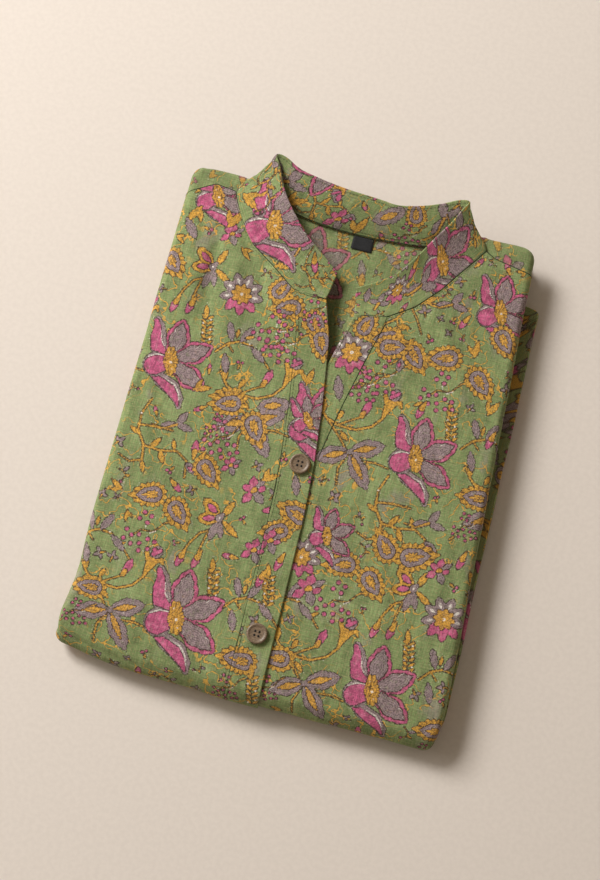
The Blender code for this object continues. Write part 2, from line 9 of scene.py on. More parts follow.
import bpy
import numpy as np
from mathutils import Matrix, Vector


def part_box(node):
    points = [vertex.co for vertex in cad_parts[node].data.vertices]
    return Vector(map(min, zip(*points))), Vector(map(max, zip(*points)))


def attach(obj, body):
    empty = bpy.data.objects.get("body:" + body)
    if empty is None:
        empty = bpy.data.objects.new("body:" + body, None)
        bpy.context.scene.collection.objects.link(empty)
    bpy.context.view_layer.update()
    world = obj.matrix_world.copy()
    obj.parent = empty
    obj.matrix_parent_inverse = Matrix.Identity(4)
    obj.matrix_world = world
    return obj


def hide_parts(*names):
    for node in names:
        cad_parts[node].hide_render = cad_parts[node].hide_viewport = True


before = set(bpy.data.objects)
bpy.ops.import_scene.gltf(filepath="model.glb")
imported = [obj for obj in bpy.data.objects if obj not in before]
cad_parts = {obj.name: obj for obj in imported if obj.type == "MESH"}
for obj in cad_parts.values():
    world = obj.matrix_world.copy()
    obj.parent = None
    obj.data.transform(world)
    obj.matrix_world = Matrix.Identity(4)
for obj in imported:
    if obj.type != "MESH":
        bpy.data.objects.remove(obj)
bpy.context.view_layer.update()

# The packet's shape, as in the solids
LEFT_X, RIGHT_X, RIGHT_SLANT = -152.0, 160.0, 0.052
BOTTOM_Y, TOP_Y, TOP_Z = -211.0, 221.5, 26.0
SIDE_ROLL, BOTTOM_ROLL, TOP_ROLL, CORNER = 6.5, 13.0, 6.5, 6.0
CROWN = 1.5
CROWN_X = (4.0, 156.0)
CROWN_Y = (5.0, 216.0)
GAP, SEAM_GAP, BAND_WALL, COLLAR_WALL = 0.3, 0.4, 1.8, 2.0
SIDE_WRAP = math.radians(150)
BOTTOM_WRAP = math.radians(145)
UNDER_WRAP = math.radians(75)
PLACKET_WIDTH, UNDER_WIDTH, PLACKET_RAMP = 28.0, 27.0, 32.0
PLACKET_LIFT = GAP + BAND_WALL
BAND_CLEAR, BAND_TOP = 12.0, 118.0
SLIT_TOP, CORNER_LEVEL, NECK_STEPS = 112.0, 124.0, 7
BACK_SHOWN, BACK_STEP = 58.0, 1.9
FOLD_NOSE = math.radians(64)
NECK_FOLD_SPAN = 26.0
NECK_DIP, NECK_RAISE, NECK_RAISE_REACH = 2.6, 2.2, 28.0
DIP_X = (-1.0, 62.0)
DIP_Y = (172.0, 46.0)
# The back's dip under the slit: its depth, then middle and reach each way
SLIT_DIP, SLIT_DIP_X, SLIT_DIP_Y = 8.0, (-5.0, 19.0), (114.0, 30.0)
# The slope to the bottom fold: its depth, what the left adds, its line and its reach on both sides
BOTTOM_SAG, LEFT_SAG, SAG_Y, SAG_ABOVE, SAG_BELOW = 3.0, 2.4, -207.0, 20.0, 9.5
# How the lower left corner is drawn: up the packet, and in and out along the side (size, y, reach)
CORNER_UP, CORNER_UP_REACH = 9.5, 35.0
SIDE_IN, SIDE_OUT, SIDE_REACH = (1.8, -138.0, 30.0), (7.5, -214.0, 32.0), 34.0
# Free edges of the two bands: (y, x)
UPPER_EDGE = (
    (-250, 21.0), (-208, 20.8), (-134, 19.5), (-56, 17.5), (-13, 14.6),
    (4, 12.6), (40, 8.2), (76, 2.2), (100, -1.8), (130.5, -12.7),
)
UNDER_EDGE = (
    (-250, -10.0), (-208, -10.0), (-134, -10.5), (-56, -12.0), (2, -10.0),
    (28, -6.0), (50, -2.0), (77, 3.5), (100, 8.6), (124.3, 14.6),
)
# Neck and shoulder seams, and the back's neckline: (x, y)
NECK_LEFT = (
    (-12.7, 130.5), (-41, 132), (-66, 150), (-84, 162), (-98, 180), (-107, 195), (-111, 204),
)
NECK_RIGHT = (
    (14.6, 124.3), (41, 129.7), (61, 143.5), (79, 164.5), (93, 186), (102, 199), (107, 207),
)
SHOULDER_LEFT = ((-165, 191), (-145.5, 197), (-129, 206.5), (-111, 204))
SHOULDER_RIGHT = ((107, 207), (116, 202.5), (143.3, 198), (165, 195))
BACK_NECK = (
    (-86, 211), (-76, 204), (-62, 199), (-35, 195), (-5, 194), (25, 195), (55, 198), (72, 204), (82, 211),
)
# Soft ridges, as in the solids: (x1, y1, x2, y2, half width, height)
FOLDS = (
    (-128, 170, -132, 60, 15, 1.3),
    (-98, 172, -84, 84, 10, 1.4),
    (-62, 140, -46, 60, 9, 1.2),
    (96, 176, 128, 150, 9, 1.3),
    (70, 146, 120, 96, 11, 1.1),
    (92, -92, 112, -176, 13, 1.2),
    (-110, -40, -60, -150, 18, 0.9),
    (60, 30, 130, -30, 16, 0.8),
)
# Creases too small for the solids, in the same columns; a negative height is a trough
CREASES = (
    (-116, 172, -110, 92, 6, -1.3),
    (-107, 187, -76, 144, 5, -1.5),
    (-121, 180, -90, 130, 8, 0.8),
    (-72, 138, -46, 84, 5, -1.1),
    (-90, 128, -66, 70, 7, 0.6),
    (-46, 128, -36, 84, 4, 0.5),
    (-140, 40, -120, -40, 8, 0.4),
    (-60, 10, -84, -60, 7, 0.4),
    (-44, -60, -50, -150, 6, 0.35),
    (-96, -120, -90, -190, 7, 0.4),
    (94, 180, 126, 170, 5, 0.8),
    (90, 168, 122, 150, 5, -1.0),
    (76, 150, 100, 118, 5, 0.7),
    (48, 134, 66, 96, 5, 0.5),
    (54, -60, 66, -150, 6, 0.35),
    (104, -84, 118, -170, 5, -0.5),
    (128, 60, 140, -60, 7, 0.4),
    (40, 40, 52, -30, 6, 0.3),
    (134, -90, 142, -180, 6, 0.4),
)
# Collar stations: seam x, seam y, top x, top y, top z
COLLAR_LEFT = (
    (-12.7, 131.5, -9.3, 155, 30.5),
    (-41, 133.5, -27, 167.5, 33.5),
    (-65, 151.5, -44.5, 180.7, 36.5),
    (-83, 163.3, -54.5, 191, 38),
    (-97, 181, -64, 202, 39),
    (-106, 196, -72, 214, 40),
    (-109, 207, -79, 229, 41),
)
COLLAR_BACK = (
    (-100, 217.5, -84.5, 239.5, 41),
    (-85, 212.5, -76, 239.5, 39.5),
    (-75, 205.5, -62.4, 233, 38.5),
    (-61, 200.5, -45, 229.5, 38),
    (-34, 196.5, -20, 226, 38),
    (-4, 195.5, 8, 224.3, 38),
    (25, 196.5, 26, 223.1, 38),
    (54, 199.5, 45, 227.5, 38.2),
    (71, 205.5, 62, 234, 38.8),
    (81, 212.5, 74, 240, 39.5),
    (96, 218, 83, 241, 40.5),
)
COLLAR_RIGHT = (
    (105, 210, 79, 232, 40.2),
    (101, 200, 74, 221, 39),
    (92, 187, 68, 211, 38.2),
    (78, 165.5, 60, 197.5, 37.2),
    (60.5, 145, 51, 182, 35.8),
    (41, 131.2, 36, 162.5, 33),
    (14.6, 125.3, 10.2, 146.4, 30),
)
COLLAR_BOW, COLLAR_FOOT = 1.4, 1.6
# Folded parts: corners (x, y)
LOWER_CORNERS = (
    (-149.5, -205), (171.5, -205), (164.5, 174), (147, 177), (146, 214), (-148, 214),
)
FLAP_CORNERS = ((-147, -196), (160, -196), (141, 213), (-146, 213))
SLEEVE_LEFT = ((-147, -108), (-46, -100), (-43, 178), (-84, 207), (-145, 203))
SLEEVE_RIGHT = ((46, -100), (161, -108), (146, 200), (84, 207), (43, 178))
BUTTONS = (("button_upper", 3.0, -11.9), ("button_lower", 5.9, -156.4))
LABEL_CENTRE = (4.5, 188.0)
LABEL_SIZE = (18.0, 12.2)

# Radius of the dark seam tubes, which are painted shade in the seam grooves
SEAM_SHADOW_RADIUS = 0.34
# Fineness of the cloth grids
STEP, FINE_STEP, BACK_GRID, EDGE_STEP = 1.05, 0.85, 1.25, 1.5
# Where the print on a folded piece begins, past its edge, and how far off the print of its top is
PRINT_START, TOP_PRINT = 3, 500

# Linear colours
GREEN_DARK = (0.135, 0.190, 0.068)
GREEN = (0.195, 0.265, 0.098)
GREEN_LIGHT = (0.270, 0.350, 0.140)
KHAKI = (0.310, 0.270, 0.130)
INKS = (
    ("mauve", (0.330, 0.238, 0.248)),
    ("pink", (0.560, 0.105, 0.225)),
    ("ochre", (0.700, 0.365, 0.055)),
    ("white", (0.740, 0.680, 0.600)),
)
OUTLINE = (0.048, 0.030, 0.024)
PALE_PINK = (0.66, 0.24, 0.34)
# Plain materials: name, colour, colour of the dark grain, roughness, fineness and depth of the grain
PLAINS = (
    # The first row is painted shade: the dark of the seam grooves and under the collar's foot
    ("painted seam shadow", (0.030, 0.055, 0.018), (0.016, 0.030, 0.010), 0.9, (900, 900, 900), 0.0002),
    ("sewing thread", (0.110, 0.130, 0.045), (0.050, 0.062, 0.022), 0.75, (2500, 2500, 2500), 0.0002),
    ("coconut shell", (0.265, 0.185, 0.115), (0.135, 0.088, 0.052), 0.42, (500, 1400, 500), 0.0001),
    ("button thread", (0.016, 0.012, 0.009), (0.007, 0.006, 0.005), 0.8, (3000, 3000, 3000), 0.0002),
    ("black tape", (0.011, 0.011, 0.012), (0.005, 0.005, 0.006), 0.8, (3500, 900, 900), 0.0001),
)

# The step from the packet's plan to the model's frame, taken at the upper button
low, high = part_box("button_upper")
SHIFT = np.array([(low.x + high.x) * 500 - BUTTONS[0][1], (low.y + high.y) * 500 - BUTTONS[0][2], 0.0])


def smooth(value):
    value = np.clip(value, 0.0, 1.0)
    return value * value * (3 - 2 * value)


def read(table, at):
    """The second column of a table where its first column is at."""
    return np.interp(at, [row[0] for row in table], [row[1] for row in table])


def right_edge(y):
    return RIGHT_X - RIGHT_SLANT * y


def crown(x, y):
    across = (x - CROWN_X[0]) / CROWN_X[1]
    lengthwise = (y - CROWN_Y[0]) / CROWN_Y[1]
    return CROWN * np.maximum(0, 1 - across ** 2) * np.maximum(0, 1 - lengthwise ** 2)


def place(a, b, height=0.0):
    """Points that lie height above the packet's outer face, for cloth sizes a and b."""
    a, b, height = np.broadcast_arrays(np.asarray(a, float), np.asarray(b, float), np.asarray(height, float))
    y = np.clip(b, BOTTOM_Y + BOTTOM_ROLL + CORNER, TOP_Y - TOP_ROLL - CORNER)
    x = np.clip(a, LEFT_X + SIDE_ROLL + CORNER, right_edge(y) - SIDE_ROLL - CORNER)
    reach = np.hypot(a - x, b - y)
    flat = reach <= CORNER
    safe = np.where(flat, 1.0, reach)
    out_x, out_y = (a - x) / safe, (b - y) / safe
    roll = SIDE_ROLL * out_x ** 2 + np.where(out_y < 0, BOTTOM_ROLL, TOP_ROLL) * out_y ** 2
    roll = np.where(flat, 1.0, roll)
    turn = (reach - CORNER) / roll
    flat_x, flat_y = x + out_x * CORNER, y + out_y * CORNER
    beyond = (roll + height) * np.sin(turn)
    rolled_z = TOP_Z + crown(flat_x, flat_y) - roll + (roll + height) * np.cos(turn)
    return np.stack((
        np.where(flat, a, flat_x + out_x * beyond),
        np.where(flat, b, flat_y + out_y * beyond),
        np.where(flat, TOP_Z + crown(a, b) + height, rolled_z),
    ), axis=-1)


def off_centre(value, centre, reach):
    """The square of the distance from a centre, counted in reaches."""
    return ((value - centre) / reach) ** 2


def to_segment(x1, y1, x2, y2, x, y):
    """How far along a segment each point lies, as a share, and its distance from it."""
    run_x, run_y = x2 - x1, y2 - y1
    share = np.clip(((x - x1) * run_x + (y - y1) * run_y) / (run_x ** 2 + run_y ** 2), 0, 1)
    return share, np.hypot(x - x1 - share * run_x, y - y1 - share * run_y)


def neck_distance(x, y):
    """How far each point lies from the neck seams."""
    nearest = np.full(np.shape(x), 1e6)
    for line in (NECK_LEFT, NECK_RIGHT):
        for start, end in zip(line, line[1:]):
            nearest = np.minimum(nearest, to_segment(*start, *end, x, y)[1])
    return nearest


def ridges(rows, x, y):
    """The height of soft ridges and troughs, which fade toward their ends."""
    height = np.zeros(np.shape(x))
    for x1, y1, x2, y2, width, rise in rows:
        share, off = to_segment(x1, y1, x2, y2, x, y)
        height += rise * (0.35 + 0.65 * np.sin(np.pi * share)) * np.exp(-(off / width) ** 2)
    return height


def lengths(points):
    """The run along a line of points, from 0 at the first."""
    return np.concatenate(([0], np.cumsum(np.linalg.norm(np.diff(points, axis=0), axis=1))))


def ripple(x, y):
    """A slow unevenness of pressed cotton, under half a millimetre."""
    wave = np.sin(x / 17 + 1.3 * np.sin(y / 41)) * np.sin(y / 29 + 0.9 * np.sin(x / 23))
    return 0.24 * wave + 0.12 * np.sin(x / 7.3 + y / 19) * np.sin(y / 33 - x / 51)


def neck_raise(x, y):
    """How far the cloth stands up where it meets the collar."""
    return NECK_RAISE * np.exp(-(neck_distance(x, y) / NECK_RAISE_REACH) ** 2)


def neck_dip(x, y):
    """How far the back sinks inside the neck."""
    return NECK_DIP * np.exp(-off_centre(x, *DIP_X) - off_centre(y, *DIP_Y))


def slit_dip(x, y):
    """How far the back falls away below the open slit."""
    return SLIT_DIP * np.exp(-off_centre(x, *SLIT_DIP_X) - off_centre(y, *SLIT_DIP_Y))


def bottom_sag(a, b):
    """How far the cloth slopes down toward the bottom fold, most at the left."""
    most = BOTTOM_SAG + LEFT_SAG * smooth((-40 - a) / 90)
    return most * np.exp(-off_centre(b, SAG_Y, np.where(b > SAG_Y, SAG_ABOVE, SAG_BELOW)))


def cloth_form(a, b):
    """The folds and creases of the fronts, stronger away from the neck and pressed out at the bottom."""
    held = smooth((b - BOTTOM_Y - BOTTOM_ROLL) / 30)
    free = smooth(neck_distance(a, b) / 16)
    form = ridges(FOLDS, a, b) * (1 + 0.35 * free) + ridges(CREASES, a, b) * (1 + 0.6 * free)
    return form * held + ripple(a, b)


def left_height(a, b):
    seam = read(UPPER_EDGE, b) - PLACKET_WIDTH
    lift = PLACKET_LIFT * smooth(1 - (seam - a) / PLACKET_RAMP)
    return lift + neck_raise(a, b) + cloth_form(a, b) - bottom_sag(a, b)


def right_height(a, b):
    clear = np.where(b < BAND_TOP, smooth((a - read(UPPER_EDGE, b)) / BAND_CLEAR), 1.0)
    return neck_raise(a, b) + cloth_form(a, b) * clear - bottom_sag(a, b)


def resample(values, positions):
    """Values along the first axis at fractional positions, on a smooth curve through them all."""
    last = len(values) - 1
    start = np.clip(np.floor(positions).astype(int), 0, max(last - 1, 0))
    t = (positions - start).reshape((-1,) + (1,) * (values.ndim - 1))
    p, q = values[np.clip(start - 1, 0, last)], values[start]
    r, s = values[np.clip(start + 1, 0, last)], values[np.clip(start + 2, 0, last)]
    return q + 0.5 * t * ((r - p) + t * (2 * p - 5 * q + 4 * r - s + t * (3 * q - p - 3 * r + s)))


def refine(values, shape, step):
    """A finer grid of values, evenly spaced on the points that shape gives for a grid of them."""
    for axis in (0, 1):
        points = np.moveaxis(shape(values), axis, 0)
        steps = np.median(np.linalg.norm(np.diff(points, axis=0), axis=-1), axis=1)
        whole = np.concatenate(([0], np.cumsum(np.maximum(steps, 1e-3))))
        count = max(2, int(math.ceil(whole[-1] / step)) + 1)
        positions = np.interp(np.linspace(0, whole[-1], count), whole, np.arange(len(whole)))
        values = np.moveaxis(resample(np.moveaxis(values, axis, 0), positions), 0, axis)
    return values


# The print: signed distances to each ink's edge, in millimetres of cloth, drawn from strokes
REACH = 9.0


class Print:
    """Distances to the inks' edges over cloth points (x, y)."""

    def __init__(self, x, y):
        self.x, self.y = np.ravel(x), np.ravel(y)
        self.inks = np.full((len(INKS), self.x.size), -REACH)
        self.teeth = np.full(self.x.size, -1.0)

    def stroke(self, ink, points, x, y, jag=0.0):
        """How far inside a stroke each point is. A stroke's rows are (x, y, half width)."""
        if len(points) == 1:
            points = (points[0], (points[0][0] + 0.01, points[0][1], points[0][2]))
        inside = np.full(x.size, -REACH)
        done = 0.0
        for (x1, y1, w1), (x2, y2, w2) in zip(points, points[1:]):
            share, off = to_segment(x1, y1, x2, y2, x, y)
            length = math.hypot(x2 - x1, y2 - y1)
            half = w1 + (w2 - w1) * share
            if jag:
                half = half + jag * np.sin((done + length * share) * 2.1)
            inside = np.maximum(inside, half - off)
            done += length
        return inside

    def draw(self, motif, cx, cy, turn=0.0, size=1.0):
        """Paints a motif's strokes, in their order, with its middle at (cx, cy)."""
        near = np.flatnonzero(np.hypot(self.x - cx, self.y - cy) < motif["reach"] * size + 4)
        if not near.size:
            return
        cos, sin = math.cos(math.radians(turn)) / size, math.sin(math.radians(turn)) / size
        dx, dy = self.x[near] - cx, self.y[near] - cy
        u, v = dx * cos + dy * sin, dy * cos - dx * sin
        for ink, points, jag, scallops in motif["strokes"]:
            inside = self.stroke(ink, points, u, v, jag)
            teeth = np.full(near.size, -1.0)
            if scallops:
                wave = np.cos(np.arctan2(v, u + 2) * scallops)
                inside = inside + 0.8 * wave
                teeth = -wave
            inside = inside * size
            self.teeth[near] = np.where(inside > -0.6, teeth, self.teeth[near])
            for other in range(ink + 1, len(INKS)):
                self.inks[other, near] = np.minimum(self.inks[other, near], -inside)
            self.inks[ink, near] = np.maximum(self.inks[ink, near], inside)


MAUVE, PINK, OCHRE, WHITE = range(4)


def motif(*strokes):
    """A motif from strokes (ink, points, jag, scallops)."""
    rows = [tuple(stroke) + (0.0, 0)[len(stroke) - 2:] for stroke in strokes]
    reach = max(math.hypot(x, y) + w for row in rows for x, y, w in row[1])
    return {"strokes": rows, "reach": reach}


def petal(angle, start, end, half, base=0.3):
    """Rows of a petal that points away from the motif's middle."""
    cos, sin = math.cos(math.radians(angle)), math.sin(math.radians(angle))
    widths = ((0, base), (0.25, 0.72), (0.52, 1.0), (0.74, 0.68), (0.9, 0.28), (1, 0.03))
    return tuple(
        ((start + (end - start) * t) * cos, (start + (end - start) * t) * sin, half * w) for t, w in widths
    )


def leaf_rows(x, y, angle, length, half):
    """Rows of a leaf that grows from (x, y)."""
    cos, sin = math.cos(math.radians(angle)), math.sin(math.radians(angle))
    widths = ((0, 0.15), (0.25, 0.75), (0.5, 1.0), (0.75, 0.7), (1, 0.05))
    return tuple((x + length * t * cos, y + length * t * sin, half * w) for t, w in widths)


def leaves(ink, jag, *rows):
    """Leaf strokes of one ink, from rows (x, y, angle, length, half width)."""
    return [(ink, leaf_rows(*row), jag) for row in rows]


def core(ink, jag, angle, length, half):
    """The stroke of a leaf's core, which starts 3 mm out from the motif's middle."""
    turn = math.radians(angle)
    return ink, leaf_rows(3 * math.cos(turn), 3 * math.sin(turn), angle, length, half), jag


def dot(ink, x, y, half):
    return ink, ((x, y, half),)


def flower():
    """The large flower: three veined petals on its right, a round one and two curled ones on its left."""
    rows = [
        (MAUVE, ((-6, 8, 4), (-15, 12, 9), (-18, 22, 8), (-20, 32, 5), (-24, 38, 3.6))),
        (PINK, ((-9, 8, 3), (-18, 12, 6), (-21, 22, 5.6), (-22, 31, 3.6), (-25, 37, 2.4))),
        (WHITE, ((-10, 13, 0.5), (-15, 19, 0.7), (-17, 28, 0.5))),
        (MAUVE, ((-15, -14, 4), (-4, -21, 7), (8, -26, 8), (17, -35, 5.5), (20, -43, 2.6))),
        (PINK, ((-12, -19, 2.6), (-3, -23, 4), (7, -28, 5.2), (15, -35, 3.4), (19, -42, 1.2))),
        (WHITE, ((0, -19, 0.5), (10, -22, 0.8), (16, -29, 0.8), (19, -37, 0.5))),
    ]
    for angle in (88, 34, -27):
        rows.append((PINK, petal(angle, 4, 45, 11.6, 0.5), 0.6))
        rows.append((MAUVE, petal(angle, 4, 41, 8.6, 0.5), 0.5))
        rows.append((WHITE, petal(angle + 9, 28, 35, 0.5)))
    rows += [
        (MAUVE, ((-14, -7, 12.5),)),
        (PINK, ((-10, -5, 9), (-15, -8, 10))),
        (WHITE, ((-8, 4, 0.5), (-16, 3.5, 0.7), (-23, -1, 0.5))),
        (OCHRE, ((-2.5, 10, 4.8), (0, 0, 7.4), (2.5, -9, 5.0)), 0.3, 17),
        dot(WHITE, 0.5, -1, 1.4),
        dot(WHITE, -4, 8, 0.8),
        dot(WHITE, 3.5, -7.5, 0.8),
    ]
    return motif(*rows)


def rosette():
    """A small flower of pointed petals, mauve above and pink below."""
    rows = []
    for step in range(9):
        angle = 78 + 40 * step
        lower = 200 < (angle % 360) < 345 or (angle % 360) < 0
        rows.append((PINK if lower else MAUVE, petal(angle, 2, 19, 4.6, 0.8), 0.25))
        if not lower:
            rows.append((WHITE, petal(angle, 9, 14.5, 1.3)))
    for step in range(8):
        rows.append((OCHRE, petal(45 * step, 1, 9.5, 2.6, 0.9)))
    rows.append(dot(WHITE, 0, 0, 1.5))
    return motif(*rows)


def drop():
    """A scalloped teardrop with a ring and a core, its tip along x."""
    return motif(
        (OCHRE, ((-4, 0, 10.4), (3, 0, 9.4), (9, 0, 6.0), (16.5, 0, 0.7)), 0, 15),
        (MAUVE, ((-4, 0, 7.0), (2, 0, 6.0), (6.5, 0, 3.4), (11, 0, 0.4))),
        (OCHRE, ((-4, 0, 3.1), (0, 0, 3.0), (5.2, 0, 0.4)), 0, 9),
    )


def sprig():
    """Three toothed leaves with bright cores on a forked stem."""
    rows = [
        (OCHRE, ((0, 0, 0.9), (-6, -16, 0.9), (-4, -30, 0.8))),
        (OCHRE, ((8, -6, 0.8), (22, -4, 0.9), (34, -6, 0.7))),
    ]
    for angle, length, half in ((205, 30, 7.6), (24, 30, 7.6), (-52, 36, 7.4)):
        rows += leaves(MAUVE, 0.8, (0, 0, angle, length, half))
        rows.append(core(OCHRE, 0.4, angle, length * 0.66, 2.7))
    return motif(*rows)


def branch():
    """A vine that carries a bud and a trumpet flower."""
    return motif(
        (OCHRE, (
            (-10, 12, 0.8), (-4, 4, 1.1), (0, 0, 1.2), (12, -4, 1.1),
            (26, -4, 1.1), (38, 2, 1.1), (45, 11, 1.1),
        )),
        (OCHRE, ((0, 0, 1.1), (8, -7, 1.0), (17, -16, 1.0), (24, -24, 0.9))),
        (OCHRE, ((10, -4, 0.9), (20, 3, 0.9), (28, 8, 0.9))),
        *leaves(OCHRE, 0.3, (14, -8, -40, 11, 2.2), (-4, 4, 100, 13, 2.6), (9, 1, 70, 9, 2.4)),
        (PINK, ((29, 12, 2.8), (31, 18, 3.4), (32, 22, 1.2))),
        (OCHRE, ((28, 9, 2.4), (29, 12, 2.0))),
        (MAUVE, ((49, 28, 3.2), (51, 34, 4.6))),
        (PINK, ((48, 31, 2.0), (53, 35, 1.8))),
        (OCHRE, ((45, 11, 1.2), (46, 17, 2.4), (48, 24, 4.6))),
        (OCHRE, ((48, 24, 2.4), (56, 28, 1.8), (58, 24, 1.0))),
        (OCHRE, ((46, 24, 2.4), (42, 32, 1.8))),
    )


def berries():
    """A cluster of round berries on pale stems."""
    rows = [
        (OCHRE, ((21, 16, 1.2), (15, 13, 0.7), (8, 4, 0.6), (-3, 3, 0.6), (-10, -5, 0.5))),
        (WHITE, ((10, 5, 0.5), (5, 2, 0.5))),
        (WHITE, ((1, 5, 0.5), (-1, 12, 0.4))),
        (WHITE, ((3, 0, 0.5), (7, -6, 0.4))),
        (OCHRE, leaf_rows(-12, -10, 215, 9, 1.8)),
    ]
    spots = (
        (-3, 18), (3, 16), (-6, 12), (1, 10), (-14, 1), (-9, -3), (-3, -1), (-15, -7),
        (-8, -10), (-1, -8), (5, -3), (11, -4), (7, -11), (13, -10), (0, -14),
    )
    return motif(*rows, *[dot(PINK, x, y, 2.0) for x, y in spots])


def butterfly():
    """A small winged flower with two buds that hang from it."""
    rows = [
        (OCHRE, ((-2, -10, 0.8), (-12, -16, 1.0), (-18, -26, 1.0), (-21, -34, 1.0))),
        (OCHRE, ((-6, -14, 0.8), (-8, -24, 0.9), (-9, -32, 0.9))),
        *leaves(MAUVE, 0.4, (-1, -3, 262, 18, 3.4), (1, -3, 288, 15, 2.8)),
    ]
    for angle, length, half in ((142, 21, 5.6), (196, 18, 5.8)):
        rows += leaves(OCHRE, 0.3, (0, 0, angle, length, half))
        rows.append(core(PINK, 0.0, angle, length * 0.62, 3.0))
    rows += leaves(OCHRE, 0.3, (2, 1, 66, 17, 3.2), (2, -1, -34, 21, 2.8))
    return motif(*rows, (MAUVE, ((0, 0, 3.6), (2, 3, 2.0))), dot(WHITE, 0, 0, 0.9))


def bud():
    return motif(
        (PINK, ((0, 0, 3.3), (-1.2, -4, 2.4), (-1.6, -6.5, 0.8))),
        (OCHRE, ((2.4, 9, 0.9), (1.2, 5, 2.0), (0.4, 2.6, 2.7))),
        dot(WHITE, -0.4, -1.5, 0.6),
    )


def spike():
    """An upright ear of small paired leaves."""
    rows = leaves(OCHRE, 0.0, (-3, 8, 106, 12, 2.4))
    for step in range(6):
        y = 7 - 4.2 * step
        x = -2.4 + 0.9 * step
        rows += leaves(OCHRE, 0.0, (x, y, 40, 6.5, 1.5), (x, y, 146, 6.5, 1.5))
        rows.append(dot(WHITE, x + 3.2 * (-1) ** step, y + 0.4, 0.9))
    return motif(*rows)


def fork():
    """The vine beside the large flower, with two small leaves and a long one."""
    vine = ((-12, -19, 1.0), (-4, -10, 1.0), (5, -6, 1.1), (16, -7, 1.0), (28, -16, 0.9), (36, -24, 0.8))
    return motif(
        (OCHRE, vine),
        (OCHRE, ((-4, -10, 0.9), (2, -16, 0.8))),
        *leaves(MAUVE, 0.5, (-1, -7, 112, 17, 3.2), (6, -6, 62, 17, 3.4)),
        *leaves(OCHRE, 0.0, (2, -4, 88, 9, 1.8)),
        *leaves(MAUVE, 0.5, (16, -8, -38, 18, 3.2)),
        dot(WHITE, 14, -6, 0.9),
    )


def hub():
    """Where several vines meet, with small leaves at their joints."""
    return motif(
        (OCHRE, ((-4, 44, 1.0), (-9, 30, 1.0), (-8, 16, 1.1), (0, 4, 1.2), (2, -8, 1.1))),
        (OCHRE, ((-9, 20, 1.0), (6, 22, 1.0), (20, 22, 0.9))),
        (OCHRE, ((0, 4, 1.1), (14, 3, 1.1), (28, 6, 1.0), (38, 0, 1.0), (40, -14, 1.0))),
        (OCHRE, ((2, -8, 1.0), (-8, -12, 0.9), (-18, -8, 0.8))),
        *leaves(
            OCHRE, 0.3, (6, 3, 58, 13, 2.4), (14, 3, -60, 12, 2.6), (-6, 12, 150, 11, 2.2),
            (2, -8, -70, 12, 2.2), (26, 6, 110, 10, 2.0),
        ),
        *leaves(MAUVE, 0.4, (38, -2, -30, 13, 3.4)),
        *leaves(PINK, 0.0, (40, -4, -30, 7, 1.6)),
        dot(WHITE, -9, 30, 0.9),
    )


def trio():
    return motif(
        *leaves(MAUVE, 0.5, (0, 0, 64, 14, 3.0), (0, 0, -8, 15, 3.0), (0, 0, 196, 14, 2.8)),
        (OCHRE, ((0, 0, 1.2), (-10, -6, 0.8), (-20, -5, 0.9))),
    )


def leaf():
    return motif(*leaves(MAUVE, 0.5, (0, 8, -72, 18, 3.4)))


def cored():
    """A leaf with a bright core."""
    return motif(*leaves(MAUVE, 0.8, (-8, -4, 20, 28, 7.4)), *leaves(OCHRE, 0.5, (-3, -2, 20, 15, 3.0)))


def star():
    """A small flower of six uneven petals."""
    pink = ((84, 8), (150, 6), (222, 9), (8, 6.5))
    return motif(
        *[(PINK, petal(angle, 1, reach, 2.3, 0.7), 0.3) for angle, reach in pink],
        (MAUVE, petal(300, 1, 9, 2.4, 0.7), 0.3),
        (MAUVE, petal(40, 2, 10, 1.7), 0.2),
        (OCHRE, ((0.6, 0.4, 1.7), (-0.8, -0.6, 1.0))),
        dot(WHITE, 3, 1.5, 0.5),
    )


def sprout():
    return motif(*leaves(OCHRE, 0.3, (-8, 0, 0, 16, 2.8), (-6, 0, 48, 11, 2.2)))


def tendril():
    return motif(
        (OCHRE, ((-6, -3, 0.6), (-2, 2, 0.7), (3, 3, 0.7), (7, -1, 0.6))),
        *leaves(OCHRE, 0.0, (2, 3, 65, 5, 1.4)),
        *leaves(MAUVE, 0.0, (-2, 2, 115, 7, 1.9)),
        dot(PINK, 7.5, -2, 1.6),
    )


def tuft():
    return motif(
        *leaves(MAUVE, 0.0, (0, 0, 20, 7, 1.9), (0, 0, 95, 8, 2.0), (0, 0, 170, 7, 1.8)),
        (OCHRE, ((0, 0, 1.3), (0, -5, 0.7))),
        dot(WHITE, 0.4, 2.5, 0.5),
    )


def pair():
    return motif(
        dot(PINK, -2.2, 0, 1.9),
        dot(PINK, 2.2, 1, 1.7),
        *leaves(OCHRE, 0.0, (0, -1, -84, 7, 1.6)),
        dot(WHITE, 0.5, 3.6, 0.6),
    )


MOTIF_MAKERS = (
    flower, rosette, drop, sprig, branch, berries, butterfly, bud, spike, fork,
    tendril, tuft, pair, hub, trio, leaf, cored, star, sprout,
)
MOTIFS = {make.__name__: make() for make in MOTIF_MAKERS}

